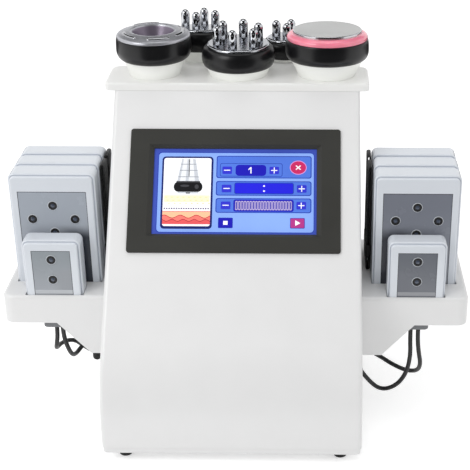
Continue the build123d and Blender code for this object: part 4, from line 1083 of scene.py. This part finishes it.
def strap_loop(x, bow):
    # Closed racetrack path in the XZ plane: twice a fold and a leg with the slack of soft webbing
    path = []
    half = STRAP_FOLD_RADIUS
    for side, turn, start, end, wave, rate in (
        (-1, 0.0, STRAP_HIGH, STRAP_LOW, math.sin, 9.0),
        (1, math.pi, STRAP_LOW, STRAP_HIGH, math.cos, 7.0),
    ):
        for step in range(13):
            angle = turn + math.pi * step / 12
            path.append((x + half * math.cos(angle), start + half * math.sin(angle)))
        for step in range(1, 16):
            t = step / 16
            slack = bow * math.sin(math.pi * t) ** 2 * (0.6 + 0.4 * wave(rate * t))
            path.append((x + side * half - side * slack * 0.5, start + (end - start) * t))
    return path


def strap_mesh(side, name):
    # Flat webbing with thin edges, swept along each loop; it wanders a little from row to row
    made = bmesh.new()
    for row, (y, bow) in enumerate(zip(STRAP_ROWS, STRAP_SLACKS)):
        path = strap_loop(side * STRAP_X, bow)
        count = len(path)
        loops = []
        for index, (px, pz) in enumerate(path):
            ax, az = path[index - 1]
            bx, bz = path[(index + 1) % count]
            along = Vector((bx - ax, 0.0, bz - az)).normalized()
            out = Vector((along.z, 0.0, -along.x))
            wander = 0.5 * math.sin(index * 0.55 + row)
            loop = []
            for across, rise in STRAP_SECTION:
                point = Vector((px, y + across + wander, pz)) + out * (rise * STRAP_PUFF)
                loop.append(made.verts.new(point * MM))
            loops.append(loop)
        for index in range(count):
            here, there = loops[index], loops[(index + 1) % count]
            for corner in range(len(here)):
                after = (corner + 1) % len(here)
                made.faces.new((here[corner], here[after], there[after], there[corner]))
    bmesh.ops.recalc_face_normals(made, faces=made.faces)
    return finished_mesh(name, made)


for side, word in ((-1, "left"), (1, "right")):
    data = strap_mesh(side, word + "_webbing")
    piece(word + "_webbing", data, strap_black, "machine", (word + "_straps",))


def rounded_block(made, low, high, width):
    # Adds a block with softened edges to an open bmesh, corners in millimetres
    centre = [(a + b) / 2 for a, b in zip(low, high)]
    size = [(b - a) * MM for a, b in zip(low, high)]
    part = bmesh.new()
    matrix = Matrix.Translation(Vector(centre) * MM) @ Matrix.Diagonal((*size, 1.0))
    bmesh.ops.create_cube(part, size=1.0, matrix=matrix)
    bmesh.ops.bevel(
        part,
        geom=list(part.edges),
        offset=width * MM,
        segments=3,
        profile=0.5,
        affect="EDGES",
        clamp_overlap=True,
    )
    absorb(made, finished_mesh("block", part))


def buckle_mesh(side, name):
    # Slide buckle on each loop: a flat frame round the webbing with a middle bar
    made = bmesh.new()
    for centre in zip((side * STRAP_X,) * len(STRAP_ROWS), STRAP_ROWS, BUCKLE_HEIGHTS):
        for block in BUCKLE_BLOCKS:
            low, high = ([a + b for a, b in zip(centre, corner)] for corner in block)
            rounded_block(made, low, high, BUCKLE_EDGE)
    return finished_mesh(name, made)


for side, word in ((-1, "left"), (1, "right")):
    data = buckle_mesh(side, word + "_buckles")
    piece(word + "_buckles", data, black_plastic, "machine", ())


# Finishes of the model's own solids
disc_centre = cavitation_axis @ Vector((0.0, 0.0, DISC_TOP * MM))
disc_steel = brushed_disc("disc_steel", (206, 207, 206), disc_centre)
display_blue = screen_material("display_edge", screen_colors["frame_blue"])
finish_groups = (
    (case_white, "case_shell", "left_wing", "right_wing", "base_plate"),
    (tray_white, "top_tray"),
    (handle_white, *(name + "_handle" for name in applicators)),
    (rear_white, "rear_cover"),
    (foot_black, "rubber_feet", "lead_domes"),
    (bezel_grey, "screen_bezel"),
    (display_blue, "touch_display"),
    (outlet_grey, "cord_outlets"),
    (board_green, "control_board"),
    (sheet_metal, "power_supply", "vacuum_pump"),
    (black_plastic, "fan_frame", "fan_rotor", "mains_inlet", "power_rocker", "handle_sockets"),
    (steel, "panel_screws"),
    (disc_steel, "cavitation_disc"),
)
finishes = {node: material for material, *nodes in finish_groups for node in nodes}
# Window colours as base, foot and inner corner: foot and corner are painted reflections, and the
# lighter left set against the darker right set is painted light and shade
left_lit_window_colors = {
    "large": ((168, 175, 185), (182, 186, 193), (62, 66, 75)),
    "small": ((152, 159, 165), (168, 172, 179), (158, 162, 168)),
}
right_shaded_window_colors = {
    "large": ((123, 127, 138), (164, 168, 177), (62, 65, 73)),
    "small": ((110, 114, 122), (124, 127, 134), (118, 121, 129)),
}
for side, pad_name, kind, front in pad_list:
    finishes[pad_name + "_housing"] = pad_white
    shades = left_lit_window_colors[kind] if side < 0 else right_shaded_window_colors[kind]
    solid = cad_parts[pad_name + "_window"]
    finishes[pad_name + "_window"] = window_material(pad_name + "_painted_reflection", *shades, solid, -side)

for node, material in finishes.items():
    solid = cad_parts[node]
    if len(solid.data.materials) == 0:
        solid.data.materials.append(material)
    for index in range(len(solid.material_slots)):
        solid.material_slots[index].material = material


# Studio: white floor and surroundings, dark cards for the gloss, soft lamps
FLOOR_HALF = 6.0
FLOOR_GLOW = 0.46
WORLD_LEVEL = 0.67
CARD_FLOOR = 0.004
LAMP_TARGET = (0.0, 0.0, 0.2)


def white_seen(nodes, links, strength):
    # Glow that only the camera, gloss and clear pieces see
    path = nodes.new("ShaderNodeLightPath")
    total = path.outputs["Is Camera Ray"]
    for ray in ("Is Glossy Ray", "Is Transmission Ray"):
        total = add_math(nodes, links, "MAXIMUM", total, path.outputs[ray])
    scaled = nodes.new("ShaderNodeMath")
    scaled.operation = "MULTIPLY"
    scaled.inputs[1].default_value = strength
    links.new(total, scaled.inputs[0])
    return scaled.outputs["Value"]


def make_floor():
    # White floor: the lamps' light plus a plain glow keep it white and leave the soft shadow on it
    corners = [(x * FLOOR_HALF, y * FLOOR_HALF, 0) for x, y in ((-1, -1), (1, -1), (1, 1), (-1, 1))]
    data = mesh_from("floor", corners, [(0, 1, 2, 3)])
    floor = new_object("floor", data)
    material = new_material("floor_white")
    nodes, links, shader = tree_of(material)
    set_inputs(
        shader,
        {
            "Base Color": (0.93, 0.93, 0.93, 1.0),
            "Roughness": 0.9,
            "Specular IOR Level": 0.1,
            "Emission Color": (1.0, 1.0, 1.0, 1.0),
        },
    )
    links.new(white_seen(nodes, links, FLOOR_GLOW), shader.inputs["Emission Strength"])
    data.materials.append(material)


def make_cards():
    # Dark cards in front, behind, on the floor and overhead, which only glossy surfaces see
    low = CARD_FLOOR
    cards = [
        [(-1.3, -1.7, 0.05), (2.8, -1.7, 0.05), (2.8, -1.7, 2.6), (-1.3, -1.7, 2.6)],
        [(-0.35, -0.45, low), (0.6, -0.45, low), (2.8, -1.7, low), (-1.3, -1.7, low)],
        [(-1.4, -1.7, 2.6), (1.8, -1.7, 2.6), (1.8, -0.1, 2.7), (-1.4, -0.1, 2.7)],
        [(-1.6, 0.2, 2.7), (1.8, 0.2, 2.7), (1.8, 2.6, 1.5), (-1.6, 2.6, 1.5)],
        [(-2.5, 0.9, low), (2.5, 0.9, low), (2.5, 3.0, low), (-2.5, 3.0, low)],
    ]
    verts, faces = [], []
    for card in cards:
        faces.append(tuple(range(len(verts), len(verts) + 4)))
        verts.extend(card)
    data = mesh_from("dark_cards", verts, faces)
    made = new_object("dark_cards", data)
    material = new_material("dark_card")
    shader = tree_of(material)[2]
    set_inputs(
        shader,
        {"Base Color": (0.01, 0.01, 0.01, 1.0), "Roughness": 1.0, "Specular IOR Level": 0.0},
    )
    data.materials.append(material)
    made.visible_camera = False
    made.visible_diffuse = False
    made.visible_shadow = False
    made.visible_transmission = False


def make_world():
    world = bpy.data.worlds.new("studio")
    bpy.context.scene.world = world
    world.use_nodes = True
    nodes, links = world.node_tree.nodes, world.node_tree.links
    background = nodes["Background"]
    strength = nodes.new("ShaderNodeMapRange")
    set_inputs(strength, {"To Min": WORLD_LEVEL, "To Max": 1.0})
    links.new(white_seen(nodes, links, 1.0), strength.inputs["Value"])
    links.new(strength.outputs["Result"], background.inputs["Strength"])
    background.inputs["Color"].default_value = (1.0, 1.0, 1.0, 1.0)


def make_lamp(name, place, size, power):
    data = bpy.data.lights.new(name, "AREA")
    data.shape = "RECTANGLE"
    data.size, data.size_y = size
    data.energy = power
    lamp = new_object(name, data)
    direction = Vector(LAMP_TARGET) - Vector(place)
    turn = direction.to_track_quat("-Z", "Y").to_matrix().to_4x4()
    lamp.matrix_world = Matrix.Translation(place) @ turn


make_floor()
make_cards()
make_world()
make_lamp("key", place=(-1.2, -1.1, 1.5), size=(0.9, 0.9), power=10.0)
make_lamp("fill", place=(1.3, -1.0, 1.3), size=(1.0, 1.0), power=1.0)
make_lamp("top", place=(0.0, 0.3, 2.0), size=(1.2, 0.8), power=5.0)

bpy.context.scene.view_settings.view_transform = "Standard"
